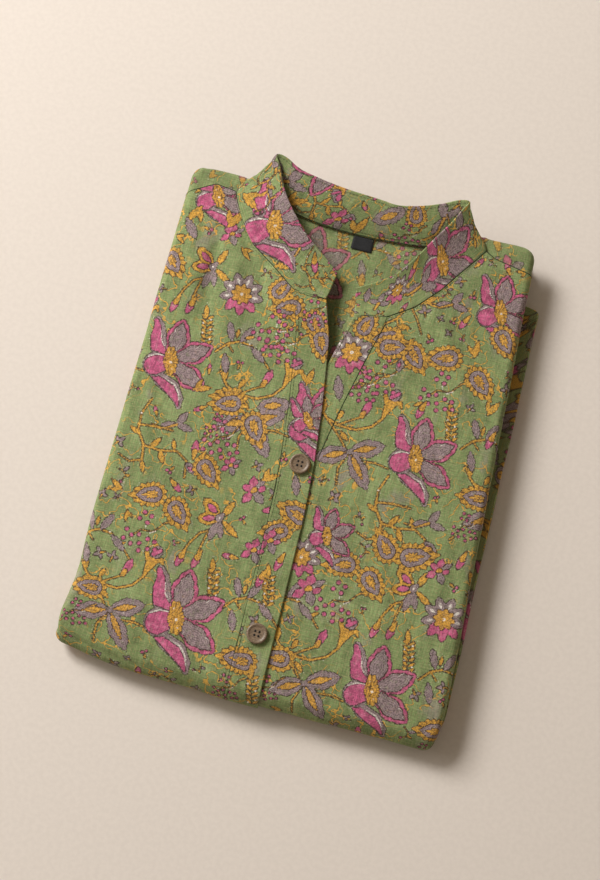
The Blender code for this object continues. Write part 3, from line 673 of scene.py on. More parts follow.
# What stands round each large flower: set, motif, x, y, turn, size
GROUP = (
    ("a", "branch", -80, 15, 0, 1), ("a", "sprig", -54, -8, 0, 1), ("a", "berries", -45, 60, 0, 1),
    ("a", "fork", 46, 37, 0, 1), ("a", "leaf", 42, 10, 0, 1), ("a", "spike", 22, 36, 0, 1),
    ("a", "drop", -49, 93, 195, 1), ("a", "drop", -22, 84, -48, 1), ("a", "drop", 56, -19, 185, 1),
    ("a", "berries", 54, -46, 10, 0.7), ("a", "flower", 0, 0, 0, 1), ("b", "butterfly", 12, 89, 0, 1),
    ("b", "bud", -10, 48, 0, 1), ("b", "bud", 3, 50, 0, 1), ("r", "rosette", 42, 71, 0, 1),
    ("u", "hub", -65, 128, 0, 1), ("u", "trio", -43, 156, 0, 1), ("u", "berries", -4, 152, 15, 1),
    ("u", "drop", -7, 184, 195, 1), ("u", "drop", 20, 169, -58, 1.05), ("u", "cored", 26, 191, 0, 1),
    ("u", "drop", -8, 124, -44, 1), ("u", "bud", -23, 140, 200, 1), ("u", "star", 9, 134, 0, 1),
    ("u", "star", 33, 118, 20, 1.5), ("u", "drop", 72, 108, 170, 1), ("u", "drop", 60, 90, 200, 0.9),
    ("u", "bud", 58, 48, 0, 1), ("u", "star", 46, 70, 0, 1.3), ("u", "sprout", 44, 132, 30, 1),
)
# Large flowers on each panel, with the sets drawn round each: x, y, sets, size of the flower
LEFT_FLOWERS = (
    (-187, 253, "a", 0.9), (8, 22, "a", 0.85), (-124, 46, "abr", 0.84), (-61, -161, "abu", 0.94),
    (-193, -137, "a", 0.9),
)
LEFT_EXTRAS = (
    ("flower", -124, 196, 10, 0.72), ("star", -104, 166, 0, 1.2), ("sprout", -104, 180, 60, 1.3),
    ("drop", -50, 130, 60, 0.95), ("drop", -24, 107, -64, 1), ("sprout", -140, 176, 240, 1.2),
    ("leaf", -142, 162, 20, 1.2), ("berries", -48, 92, -10, 1), ("sprout", -92, 30, 20, 1),
)
RIGHT_FLOWERS = (
    (225, -5, "a", 0.9), (94, 17.5, "a", 0.82), (107, -176.5, "abr", 0.85), (-30, -152, "a", 0.9),
)
RIGHT_EXTRAS = (
    ("hub", 46, 128, -60, 0.9), ("hub", 80, -46, 0, 1), ("trio", 118, -32, 0, 1), ("drop", 88, -60, 130, 1),
    ("drop", 114, -62, 20, 1.15), ("star", 135, -68, 0, 1.3), ("bud", 151, -56, 0, 1),
    ("flower", 132, 158, 5, 0.75), ("drop", 141, 134, -52, 1), ("trio", 91, 154, 0, 1),
    ("drop", 96, 107, 195, 1.05), ("drop", 130, 94, -46, 1.05), ("berries", 100, 76, 0, 1),
    ("bud", 88, 58, 0, 1), ("drop", 52, 105, 15, 1), ("cored", 24, 108, 60, 0.8),
    ("berries", 36, 66, 0, 0.9), ("rosette", 24, -86, 0, 0.9), ("star", 36, -110, 0, 1.6),
    ("sprout", 120, 122, 90, 1), ("flower", 40, -64, 0, 0.55), ("sprout", 70, 152, 30, 1.2),
    ("bud", 150, 48, 0, 1), ("sprout", 146, 76, 60, 1),
)
UPPER_BAND_EXTRAS = (
    ("flower", 0, 26, 20, 0.5), ("drop", -6, 92, -70, 0.95), ("bud", 8, -96, 0, 1),
    ("spike", 6, -118, 0, 1), ("drop", 11, -53, 160, 1), ("sprout", -8, 62, 80, 1),
    ("star", -4, -80, 0, 1.3), ("berries", -16, 118, 20, 0.8), ("drop", -2, -181, 183, 1),
    ("spike", 14, -200, 0, 1), ("leaf", 2, -30, 0, 1),
)
UNDER_BAND_EXTRAS = (
    ("rosette", 20, 92, 0, 1), ("drop", 26, 118, 70, 0.9), ("leaf", 14, 60, 0, 1.2),
    ("sprout", 8, 36, 60, 1),
)
COLLAR_EXTRAS = (
    # The inner face, which shows at the back of the neck
    ("leaf", 136, 22, 30, 1.1), ("trio", 152, 20, 10, 1.2), ("sprout", 168, 8, 40, 1.2),
    ("hub", 182, 12, 8, 0.75), ("star", 206, 8, 0, 1.3), ("cored", 240, 22, 14, 1.1),
    ("sprout", 226, 8, 80, 1.2), ("drop", 268, 29, 90, 0.9), ("trio", 292, 22, 30, 1.2),
    ("berries", 262, 6, 0, 0.7), ("hub", 312, 14, 100, 0.7), ("drop", 110, 18, 60, 0.9),
    ("flower", 66, 18, 60, 0.8), ("drop", 30, 18, 20, 0.9), ("flower", 360, 18, -20, 0.8),
    ("drop", 410, 16, 40, 0.9),
    # The outer face, from the free edge to the seam
    ("hub", 18, 60, 210, 0.6), ("bud", 22, 47, 240, 1), ("sprout", 40, 64, 232, 1.2),
    ("trio", 42, 48, 250, 1.0), ("flower", 73, 53, 232, 0.86), ("sprout", 100, 64, 200, 1.2),
    ("hub", 112, 50, 170, 0.6), ("tuft", 124, 44, 210, 1.3), ("drop", 140, 62, 180, 0.9),
    ("flower", 176, 54, 180, 0.8), ("branch", 226, 52, 180, 0.7), ("drop", 262, 56, 20, 0.9),
    ("rosette", 296, 56, 180, 0.8), ("hub", 326, 56, 120, 0.65), ("trio", 338, 46, 160, 1.1),
    ("flower", 364, 55, 154, 0.8), ("trio", 388, 60, 154, 1.1), ("rosette", 412, 52, 154, 0.62),
    ("bud", 396, 44, 150, 1), ("tuft", 428, 60, 154, 1.4), ("leaf", 440, 48, 154, 0.9),
)
# Small sprays that fill the ground between the motifs, and the pitch they are tried at
FILLERS = ("tendril", "tuft", "pair", "sprout", "tuft", "bud", "tendril")
FILL_PITCH = 11.5
FILL_ROOM = 6.2
FILL_SHIFT = 4
# Steps from one large flower to the next on the hidden parts
ACROSS, DOWN = (132, -24), (63, -207)


def floral(x, y, flowers, extras):
    """A print with groups round each large flower and some motifs of its own."""
    made = Print(x, y)
    for cx, cy, sets, flower_size in flowers:
        for kind, name, dx, dy, turn, size in GROUP:
            if kind in sets:
                own = flower_size if name == "flower" else size
                made.draw(MOTIFS[name], cx + dx, cy + dy, turn, own)
    for name, cx, cy, turn, size in extras:
        made.draw(MOTIFS[name], cx, cy, turn, size)
    draw = np.random.RandomState(11)
    columns, rows = [
        np.arange(math.floor(np.min(side) / FILL_PITCH), np.max(side) / FILL_PITCH) * FILL_PITCH
        for side in (x, y)
    ]
    for cx in columns:
        for cy in rows:
            off_x, off_y, turn, pick, size = draw.uniform(size=5)
            at_x, at_y = cx + FILL_SHIFT * off_x, cy + FILL_SHIFT * off_y
            near = np.hypot(made.x - at_x, made.y - at_y) < FILL_ROOM
            if near.any() and made.inks[:, near].max() < -0.8:
                name = FILLERS[int(pick * len(FILLERS))]
                made.draw(MOTIFS[name], at_x, at_y, 360 * turn, 0.55 + 0.35 * size)
    return np.concatenate((made.inks, made.teeth[None]))


def tiled(x, y, start=(0, 0)):
    """The same print in even steps, for what is folded away."""
    flowers = []
    for i in range(-5, 6):
        for j in range(-4, 5):
            cx = start[0] + ACROSS[0] * i + DOWN[0] * j
            cy = start[1] + ACROSS[1] * i + DOWN[1] * j
            near = np.min(x) - 90 < cx < np.max(x) + 90 and np.min(y) - 195 < cy < np.max(y) + 60
            if near:
                flowers.append((cx, cy, "abu", 0.86))
    return floral(x, y, flowers, ())


class Nodes:
    """Short calls for a material's nodes."""

    def __init__(self, name):
        self.material = bpy.data.materials.new(name)
        self.material.use_nodes = True
        self.tree = self.material.node_tree
        self.shader = self.tree.nodes["Principled BSDF"]

    def add(self, kind, **settings):
        made = self.tree.nodes.new(kind)
        for name, value in settings.items():
            setattr(made, name, value)
        return made

    def link(self, source, target):
        self.tree.links.new(source, target)

    def put(self, socket, value):
        if isinstance(value, bpy.types.NodeSocket):
            self.link(value, socket)
        else:
            socket.default_value = value

    def math(self, operation, first, second=0.0):
        made = self.add("ShaderNodeMath", operation=operation)
        for socket, value in zip(made.inputs, (first, second)):
            self.put(socket, value)
        return made.outputs[0]

    def times(self, first, *others):
        for other in others:
            first = self.math("MULTIPLY", first, other)
        return first

    def plus(self, first, second):
        return self.math("ADD", first, second)

    def halves(self, first, second):
        return self.plus(self.times(first, 0.5), self.times(second, 0.5))

    def away(self, value, centre):
        """How far a value lies from a centre."""
        return self.math("ABSOLUTE", self.math("SUBTRACT", value, centre))

    def ramp(self, value, low, high, out_low=0.0, out_high=1.0):
        made = self.add("ShaderNodeMapRange", interpolation_type="SMOOTHSTEP")
        names = ("Value", "From Min", "From Max", "To Min", "To Max")
        for name, item in zip(names, (value, low, high, out_low, out_high)):
            self.put(made.inputs[name], item)
        return made.outputs[0]

    def mix(self, share, first, second):
        made = self.add("ShaderNodeMix", data_type="RGBA")
        colours = [socket for socket in made.inputs if socket.type == "RGBA"]
        self.put(made.inputs[0], share)
        for socket, value in zip(colours, (first, second)):
            self.put(socket, value if isinstance(value, bpy.types.NodeSocket) else (*value, 1))
        return [socket for socket in made.outputs if socket.type == "RGBA"][0]

    def value_of(self, attribute):
        return self.add("ShaderNodeAttribute", attribute_name=attribute).outputs["Fac"]

    def vector_of(self, attribute):
        return self.add("ShaderNodeAttribute", attribute_name=attribute).outputs["Vector"]

    def stretched(self, vector, scale):
        made = self.add("ShaderNodeVectorMath", operation="MULTIPLY")
        self.link(vector, made.inputs[0])
        made.inputs[1].default_value = scale
        return made.outputs[0]

    def noise(self, vector, scale, detail=2.0, rough=0.5):
        made = self.add("ShaderNodeTexNoise")
        self.link(vector, made.inputs["Vector"])
        made.inputs["Scale"].default_value = scale
        made.inputs["Detail"].default_value = detail
        made.inputs["Roughness"].default_value = rough
        return made.outputs["Fac"]

    def finish(self, settings, height, strength, depth):
        """Sets the shader's inputs and a bump of height, depth in metres, and gives the material."""
        for name, value in settings.items():
            self.put(self.shader.inputs[name], value)
        bump = self.add("ShaderNodeBump")
        bump.inputs["Strength"].default_value = strength
        bump.inputs["Distance"].default_value = depth
        self.link(height, bump.inputs["Height"])
        self.link(bump.outputs[0], self.shader.inputs["Normal"])
        return self.material


def cotton_ground(n, cloth, dashes, printed):
    """The green slub ground, with khaki specks, smudges of ink and faint scrolls."""
    slub = n.noise(n.stretched(cloth, (0.13, 0.030, 1)), 1.0, 3)
    tint = n.halves(slub, n.noise(cloth, 0.022, 3, 0.6))
    colour = n.mix(n.ramp(tint, 0.36, 0.54), GREEN_DARK, GREEN)
    colour = n.mix(n.ramp(tint, 0.50, 0.68), colour, GREEN_LIGHT)
    colour = n.mix(n.ramp(n.noise(cloth, 0.6, 3, 0.7), 0.42, 0.66, 0, 0.62), colour, KHAKI)
    smudge = n.noise(n.stretched(cloth, (1, 0.6, 1)), 0.035, 3, 0.6)
    colour = n.mix(n.ramp(smudge, 0.56, 0.72, 0, 0.45), colour, INKS[MAUVE][1])
    stain = n.noise(cloth, 0.05, 3, 0.6)
    colour = n.mix(n.ramp(stain, 0.62, 0.74, 0, 0.30), colour, INKS[OCHRE][1])
    scroll = n.away(n.noise(cloth, 0.085, 2, 0.4), 0.5)
    shown = n.ramp(n.noise(cloth, 0.03, 1), 0.46, 0.56)
    colour = n.mix(n.times(n.ramp(scroll, 0.020, 0.009), shown, 0.8 * printed), colour, INKS[OCHRE][1])
    line = n.ramp(n.away(scroll, 0.021), 0.012, 0.004)
    return n.mix(n.times(line, shown, dashes, 0.5 * printed), colour, OUTLINE)


def pen_marks(n, ink, inside, fine, speck, bead_gap):
    """Dark marks within an ink: waves in mauve, beads and teeth in ochre, specks in pink."""
    if ink == "mauve":
        waves = n.math("SINE", n.plus(n.times(inside, 3.4), n.times(fine, 5.0)))
        return n.times(n.ramp(waves, 0.1, 0.7), n.ramp(speck, 0.38, 0.50, 0, 0.62))
    if ink == "ochre":
        beads = n.times(bead_gap, n.ramp(speck, 0.40, 0.54, 0, 0.50))
        return n.math("MAXIMUM", beads, n.ramp(n.value_of("print_teeth"), 0.15, 0.75, 0, 0.85))
    return n.ramp(speck, 0.60, 0.68, 0, 0.55)


def inked(n, cloth, colour, dashes, printed):
    """The ground with the inks over it, each with its outline, pen marks and glints."""
    fine = n.noise(cloth, 0.9, 2)
    speck = n.noise(cloth, 0.8, 1)
    rough_edge = n.times(n.plus(fine, -0.5), 1.3)
    strength = n.ramp(n.noise(cloth, 0.30, 3, 0.7), 0.30, 0.52, 0.60, 0.97)
    streak = n.noise(n.stretched(cloth, (1, 0.5, 1)), 0.35, 2)
    beads = n.add("ShaderNodeTexVoronoi", feature="DISTANCE_TO_EDGE")
    n.link(cloth, beads.inputs["Vector"])
    beads.inputs["Scale"].default_value = 0.42
    bead_gap = n.ramp(beads.outputs["Distance"], 0.16, 0.05)
    for ink, paint in INKS:
        inside = n.plus(n.value_of("print_" + ink), rough_edge)
        covered = n.times(n.ramp(inside, -0.25, 0.3), strength, printed)
        if ink == "white":
            colour = n.mix(n.times(covered, n.ramp(speck, 0.34, 0.46)), colour, paint)
            continue
        dark = tuple(part * 0.6 for part in paint)
        shaded = n.mix(n.ramp(streak, 0.40, 0.66, 0, 0.85 if ink == "pink" else 0.55), paint, dark)
        if ink == "pink":
            shaded = n.mix(n.ramp(n.noise(cloth, 0.22, 2), 0.52, 0.70, 0, 0.55), shaded, PALE_PINK)
        colour = n.mix(covered, colour, shaded)
        edge = n.times(n.ramp(n.away(inside, 0.0), 0.22, 0.85, 1.0, 0.0), dashes, 0.94)
        hatch = n.times(pen_marks(n, ink, inside, fine, speck, bead_gap), n.ramp(inside, 0.3, 0.9))
        colour = n.mix(n.times(n.math("MAXIMUM", edge, hatch), printed), colour, OUTLINE)
        rim = n.ramp(n.away(inside, -1.3), 0.25, 0.6, 1.0, 0.0)
        glint = n.times(rim, n.ramp(speck, 0.60, 0.70, 0, 0.45 * printed))
        colour = n.mix(glint, colour, INKS[WHITE][1])
    return colour


def printed_cotton(name, fade=0.0, shade=1.0):
    """Slub cotton with the floral print. fade mutes the print, as on the cloth's inner face, and shade below
    1 darkens the whole cloth as painted shade.
    """
    n = Nodes(name)
    cloth = n.vector_of("cloth")
    dashes = n.ramp(n.noise(cloth, 0.55, 3, 0.7), 0.40, 0.52)
    ground = cotton_ground(n, cloth, dashes, 1 - fade)
    warp = n.noise(n.stretched(cloth, (1.5, 0.10, 1)), 1.0, 2, 0.6)
    weft = n.noise(n.stretched(cloth, (0.10, 1.5, 1)), 1.0, 2, 0.6)
    threads = n.halves(warp, weft)
    lit = n.add("ShaderNodeVectorMath", operation="SCALE")
    n.link(inked(n, cloth, ground, dashes, 1 - fade), lit.inputs[0])
    # shade scales the colour; below 1 it is painted shade
    n.link(n.ramp(threads, 0.36, 0.64, 0.76 * shade, 1.33 * shade), lit.inputs["Scale"])
    crumple = n.noise(n.stretched(cloth, (1, 0.6, 1)), 0.07, 3, 0.55)
    relief = n.plus(n.times(threads, 0.20), n.times(crumple, 0.9))
    settings = {
        "Base Color": lit.outputs[0], "Roughness": n.ramp(threads, 0.3, 0.7, 0.92, 0.78),
        "Specular IOR Level": 0.28, "Sheen Weight": 0.15, "Sheen Roughness": 0.5,
        "Sheen Tint": (0.80, 0.85, 0.65, 1),
    }
    return n.finish(settings, relief, 0.6, 0.0014)


def plain(name, colour, dark, rough, scale, bump_depth):
    """A fine-grained material for thread, tape and shell."""
    n = Nodes(name)
    spot = n.add("ShaderNodeTexCoord").outputs["Object"]
    grain = n.noise(n.stretched(spot, scale), 1.0, 4, 0.6)
    settings = {
        "Base Color": n.mix(n.ramp(grain, 0.35, 0.65), dark, colour),
        "Roughness": n.ramp(grain, 0.3, 0.7, rough + 0.1, rough - 0.05),
    }
    return n.finish(settings, grain, 0.5, bump_depth)


COTTON = printed_cotton("printed cotton")
# The back's inside, in the neck and under the slit: its print muted, and its colour darkened by shade=0.92 as
# painted shade
COTTON_INNER_SHADED = printed_cotton("printed cotton inside", fade=0.25, shade=0.92)
# The first of these is the painted shade along the seams
SEAM_SHADOW, THREAD, COCONUT, BUTTON_THREAD, TAPE = [plain(*row) for row in PLAINS]


def settle(points):
    """Draws the packet's lower left corner up toward the collar and a little outward."""
    x, y = points[:, 0], points[:, 1]
    moved = points.copy()
    moved[:, 1] += CORNER_UP * np.exp(-off_centre(x, LEFT_X, CORNER_UP_REACH)) * smooth((-125 - y) / 90)
    drawn = SIDE_IN[0] * np.exp(-off_centre(y, *SIDE_IN[1:]))
    drawn -= SIDE_OUT[0] * np.exp(-off_centre(y, *SIDE_OUT[1:]))
    moved[:, 0] += drawn * np.exp(-off_centre(x, LEFT_X, SIDE_REACH))
    return moved


def new_object(name, points, faces, material):
    """A mesh from points in plan millimetres, with its body and finish."""
    mesh = bpy.data.meshes.new(name)
    placed = (settle(np.asarray(points, float).reshape(-1, 3)) + SHIFT) / 1000
    mesh.from_pydata(placed.tolist(), [], faces)
    mesh.materials.append(material)
    mesh.shade_smooth()
    mesh.update()
    made = bpy.data.objects.new(name, mesh)
    bpy.context.scene.collection.objects.link(made)
    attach(made, "root")
    return made


def grid_faces(rows, columns, flip=False, loop=False):
    """The faces of a grid of points. A loop also joins its last column to its first."""
    i = np.arange(rows - 1)[:, None]
    j = np.arange(columns if loop else columns - 1)[None, :]
    first = i * columns + j
    right = i * columns + (j + 1) % columns
    quads = np.stack((first, right, right + columns, first + columns), axis=-1).reshape(-1, 4)
    return (quads[:, ::-1] if flip else quads).tolist()


def dress(made, cloth, inks):
    """Gives a cloth piece its print and its flat map."""
    mesh = made.data
    count = len(mesh.vertices)
    flat = np.asarray(cloth, float).reshape(-1, 2)
    spot = np.zeros((count, 3), np.float32)
    spot[:, :2] = flat
    mesh.attributes.new("cloth", "FLOAT_VECTOR", "POINT").data.foreach_set("vector", spot.ravel())
    for ink, values in zip([ink for ink, _ in INKS] + ["teeth"], inks):
        layer = mesh.attributes.new("print_" + ink, "FLOAT", "POINT")
        layer.data.foreach_set("value", np.clip(values, -4, REACH).astype(np.float32))
    corner = np.zeros(len(mesh.loops), np.int32)
    mesh.loops.foreach_get("vertex_index", corner)
    lowest, size = flat.min(0), np.ptp(flat, axis=0).max()
    sheet_map = mesh.uv_layers.new(name="OFBake")
    uv = ((flat - lowest) / size * 0.98 + 0.01)[corner].astype(np.float32)
    sheet_map.data.foreach_set("uv", uv.ravel())
    return made


def along(points, share):
    """Points at shares of the run along a line."""
    points = np.asarray(points, float)
    whole = lengths(points)
    at = np.clip(share, 0, 1) * whole[-1]
    return np.stack([np.interp(at, whole, points[:, i]) for i in range(points.shape[1])], axis=-1)


def body_rows(wrap=BOTTOM_WRAP):
    """Cloth sizes up the packet, from the underside of the bottom fold to the slit."""
    flat = BOTTOM_Y + BOTTOM_ROLL
    rolled = np.linspace(flat - BOTTOM_ROLL * wrap, flat, 9)[:-1]
    return np.concatenate((rolled, np.linspace(flat, SLIT_TOP, 22)))


def turned_edges(cloth, height, edges, depth=1.3, reach=0.22):
    """Adds rows to a grid so that each named edge turns down, as at a seam or a fold."""
    for edge in edges:
        axis = 0 if edge in ("first_row", "last_row") else 1
        c, h = np.moveaxis(cloth, axis, 0), np.moveaxis(height, axis, 0)
        end, inner = (0, 1) if edge.startswith("first") else (-1, -2)
        out = c[end] - c[inner]
        out = out / np.maximum(np.linalg.norm(out, axis=-1, keepdims=True), 1e-6) * reach
        more_c = [c[end] + out * 0.7, c[end] + out]
        more_h = [h[end] - depth * 0.3, h[end] - depth]
        if end == 0:
            c = np.concatenate((np.stack(more_c[::-1]), c))
            h = np.concatenate((np.stack(more_h[::-1]), h))
        else:
            c = np.concatenate((c, np.stack(more_c)))
            h = np.concatenate((h, np.stack(more_h)))
        cloth, height = np.moveaxis(c, 0, axis), np.moveaxis(h, 0, axis)
    return cloth, height


def panel(name, coarse, step, height_at, turned, print_rows):
    """A printed piece over the packet, from a coarse grid of cloth sizes and its height there.

    turned is what turned_edges takes after the grid, and print_rows the flowers and extras.
    """
    cloth = refine(np.array(coarse), lambda c: place(c[..., 0], c[..., 1]), step)
    height = height_at(cloth[..., 0], cloth[..., 1])
    cloth, height = turned_edges(cloth, height, *turned)
    rows, columns = height.shape
    points = place(cloth[..., 0], cloth[..., 1], height)
    across = points[rows // 2, -1] - points[rows // 2, 0]
    down = points[-1, columns // 2] - points[0, columns // 2]
    faces = grid_faces(rows, columns, flip=np.cross(across, down)[2] < 0)
    made = new_object("cloth_" + name, points, faces, COTTON)
    dress(made, cloth, floral(cloth[..., 0], cloth[..., 1], *print_rows))
    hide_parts(name)


def front(name, side, neck, shoulder, band_seam, height_at, flowers, extras):
    """One front panel, from its fold at the side to the seams of the band and the neck."""
    low_y = BOTTOM_Y + BOTTOM_ROLL
    levels = [(b, band_seam(b), b) for b in body_rows()]
    seam_x = band_seam(neck[0][1])
    start = (seam_x, read(sorted(neck), seam_x) + 1.0)
    neck_line = [start] + [p for p in neck if (p[0] - start[0]) * side > 6]
    shoulder_y = shoulder[1][1] if side < 0 else shoulder[-2][1]
    for i in range(NECK_STEPS + 1):
        share = i / NECK_STEPS
        inner_x, inner_y = along(neck_line, share)
        levels.append((CORNER_LEVEL + (shoulder_y - CORNER_LEVEL) * share, inner_x, inner_y))
    coarse = []
    for level, (outer_y, inner_x, inner_y) in enumerate(levels):
        edge = LEFT_X + SIDE_ROLL if side < 0 else right_edge(np.clip(outer_y, low_y, TOP_Y)) - SIDE_ROLL
        beyond = max(0.0, low_y - outer_y) / (BOTTOM_ROLL * BOTTOM_WRAP)
        wrap = SIDE_ROLL * SIDE_WRAP * math.sqrt(max(0.03, 1 - beyond ** 2))
        a = np.concatenate((np.linspace(edge + side * wrap, edge, 7)[:-1], np.linspace(edge, inner_x, 10)))
        y = outer_y + (inner_y - outer_y) * smooth((a - edge) / (inner_x - edge))
        if level == len(levels) - 1:
            y = read(shoulder, a) - SEAM_GAP
        coarse.append(np.stack((a, y), axis=-1))
    panel(name, coarse, STEP, height_at, (("last_column", "last_row"),), (flowers, extras))


def band(name, edge_table, width, side, neck, lift, wrap, extras, flowers):
    """A button band, whose free edge is a fold and whose top follows the neck seam."""
    top = neck[0][1]
    rows = np.concatenate((body_rows(wrap), np.linspace(SLIT_TOP, top, 3)[1:]))
    coarse = []
    for b in rows:
        free = read(edge_table, b)
        a = np.linspace(free - side * (width - SEAM_GAP), free, 4)
        neck_y = read(sorted(neck), a) + 0.8
        y = b + (neck_y - top) * max(0.0, b - SLIT_TOP) / (top - SLIT_TOP)
        coarse.append(np.stack((a, y), axis=-1))
    def height_at(a, b):
        pucker = 0.12 * np.sin(b / 9 + 0.7 * np.sin(b / 31)) * np.sin(a / 5)
        return lift + neck_raise(a, b) - bottom_sag(a, b) + pucker

    turned = (("first_column", "last_column", "last_row"), 1.7, 0.5)
    panel(name, coarse, FINE_STEP, height_at, turned, (flowers, extras))


def back():
    """The back: its inner face in the neck, and its shoulders over the fold."""
    left, right = SHOULDER_LEFT[-1][0], SHOULDER_RIGHT[0][0]
    flat = TOP_Y - TOP_ROLL
    fold = flat + TOP_ROLL * FOLD_NOSE
    under, over = -BACK_STEP - 0.05, -0.15
    right_flat = right_edge(200) - SIDE_ROLL
    end = SIDE_ROLL * math.radians(95)
    columns = np.concatenate((
        np.linspace(LEFT_X + SIDE_ROLL - end, LEFT_X + SIDE_ROLL, 5)[:-1],
        np.linspace(LEFT_X + SIDE_ROLL, left, 4)[:-1],
        np.linspace(left, left + NECK_FOLD_SPAN, 7)[:-1],
        np.linspace(left + NECK_FOLD_SPAN, right - NECK_FOLD_SPAN, 12)[:-1],
        np.linspace(right - NECK_FOLD_SPAN, right, 7)[:-1],
        np.linspace(right, right_flat, 5)[:-1],
        np.linspace(right_flat, right_flat + end, 5),
    ))
    middle, radius = (under + over) / 2, (over - under) / 2
    coarse = []
    for x in columns:
        path = [(b, under) for b in np.linspace(BACK_SHOWN, flat, 13)[:-1]]
        path += [(b, under) for b in np.linspace(flat, fold, 4)]
        for turn in np.radians((45, 90, 135)):
            path.append((fold + radius * math.sin(turn), middle - radius * math.cos(turn)))
        seam = read(SHOULDER_LEFT if x < 0 else SHOULDER_RIGHT, x)
        path += [(b, over) for b in np.linspace(fold, flat, 4)[:-1]]
        path += [(b, over) for b in np.linspace(flat, seam + 0.2, 4)]
        path = np.array(path)
        whole = lengths(path)[-1]
        inset = max(left - x, x - right)
        neckline = read(BACK_NECK, x) - BACK_SHOWN
        share = 1.0 if inset >= 0 else 1.0 + (neckline / whole - 1.0) * smooth(-inset / NECK_FOLD_SPAN)
        spots = along(path, share * np.linspace(0, 1, 44))
        run = share * whole * np.linspace(0, 1, 44)
        rows = [
            (x, b, height - neck_dip(x, b) - slit_dip(x, b), BACK_SHOWN + s)
            for (b, height), s in zip(spots, run)
        ]
        coarse.append(rows)
    grid = refine(np.array(coarse), lambda g: place(g[..., 0], g[..., 1], g[..., 2]), BACK_GRID)
    cloth = np.stack((grid[..., 0], grid[..., 3]), axis=-1)
    points = place(grid[..., 0], grid[..., 1], grid[..., 2])
    inks = tiled(cloth[..., 0], cloth[..., 1], (97, 132))
    made = new_object("cloth_back", points, grid_faces(*points.shape[:2]), COTTON_INNER_SHADED)
    dress(made, cloth, inks)
    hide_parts("back")


def collar_frame():
    """The collar's middle surface on a fine grid: points, and its directions out and up."""
    stations = []
    for x, y, top_x, top_y, top_z in COLLAR_LEFT + COLLAR_BACK + COLLAR_RIGHT:
        if (x, y, top_x, top_y, top_z) in COLLAR_BACK:
            edge = min(x - COLLAR_BACK[0][0], COLLAR_BACK[-1][0] - x)
            low_height = -BACK_STEP + GAP + COLLAR_WALL / 2 + 0.5 - neck_dip(x, y) * smooth(edge / 30)
            low_height += 2.4 * (1 - smooth(edge / 16))
        else:
            lifted = PLACKET_LIFT if x < 0 and y < 135 else 0.0
            low_height = neck_raise(x, y) - COLLAR_WALL / 2 + 0.4 + lifted
        seam = place(x, min(y, TOP_Y - TOP_ROLL), low_height)
        stations.append((x, y, float(seam[2]), top_x, top_y, top_z))
    stations = np.array(stations)
    ring = resample(stations, np.linspace(0, len(stations) - 1, 3 * (len(stations) - 1) + 1))
    seam, top = ring[:, :3], ring[:, 3:]
    course = np.gradient(seam + top, axis=0)
    outward = np.cross(course, top - seam)
    outward /= np.linalg.norm(outward, axis=1, keepdims=True)
    shares = np.linspace(0, 1, 7)
    rows = [seam + (top - seam) * s + outward * COLLAR_BOW * math.sin(math.pi * s) for s in shares]
    fine = refine(np.stack(rows, axis=1), lambda g: g, FINE_STEP)
    across = np.gradient(fine, axis=0)
    up = np.gradient(fine, axis=1)
    up /= np.linalg.norm(up, axis=-1, keepdims=True)
    out = np.cross(across, up)
    out /= np.linalg.norm(out, axis=-1, keepdims=True)
    return fine, out, up


def collar():
    """The stand collar in two layers, folded over at its free edge and closed at its ends."""
    middle, out, up = collar_frame()
    stations, levels = middle.shape[:2]
    run = lengths((middle[:, 0] + middle[:, -1]) / 2)
    climb = lengths(middle[stations // 2])
    half = COLLAR_WALL / 2 - 0.1
    wave = 0.18 * np.sin(run / 7.5 + 1.1 * np.sin(run / 19))
    swell = wave[:, None] * np.sin(np.linspace(0, math.pi, levels))
    outer = middle + out * (half + swell)[..., None]
    inner = middle - out * (half - swell)[..., None]
    sections, heights = [outer], [climb]
    for turn in np.radians((30, 60, 90, 120, 150)):
        edge = middle[:, -1] + out[:, -1] * half * math.cos(turn) + up[:, -1] * half * math.sin(turn)
        sections.append(edge[:, None])
        heights.append([climb[-1] + half * turn])
    sections.append(inner[:, ::-1])
    heights.append(climb[-1] + half * math.pi + (climb[-1] - climb[::-1]))
    points = np.concatenate(sections, axis=1)
    height = np.concatenate(heights)
    foot = middle[:, 0] - up[:, 0] * COLLAR_FOOT
    lean = out[:, 0] * half * 0.7
    points = np.concatenate(((foot + lean)[:, None], points, (foot - lean)[:, None]), axis=1)
    height = np.concatenate(([height[0] - COLLAR_FOOT], height, [height[-1] + COLLAR_FOOT]))
    ends = []
    for end, inward in ((0, 1), (-1, -2)):
        away = points[end] - points[inward]
        away /= np.linalg.norm(away, axis=1, keepdims=True)
        core = (points[end] + points[end][::-1]) / 2
        ends.append([points[end] * 0.45 + core * 0.55 + away * 0.75, core + away * 0.9])
    points = np.concatenate((np.stack(ends[0][::-1]), points, np.stack(ends[1])))
    run = np.concatenate((run[0] - np.array([2.0, 1.0]), run, run[-1] + np.array([1.0, 2.0])))
    cloth = np.stack(np.meshgrid(run, height, indexing="ij"), axis=-1)
    inks = floral(cloth[..., 0], cloth[..., 1], (), COLLAR_EXTRAS)
    made = new_object("cloth_collar", points, grid_faces(*points.shape[:2]), COTTON)
    dress(made, cloth, inks)
    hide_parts("collar")
    return middle, out, up


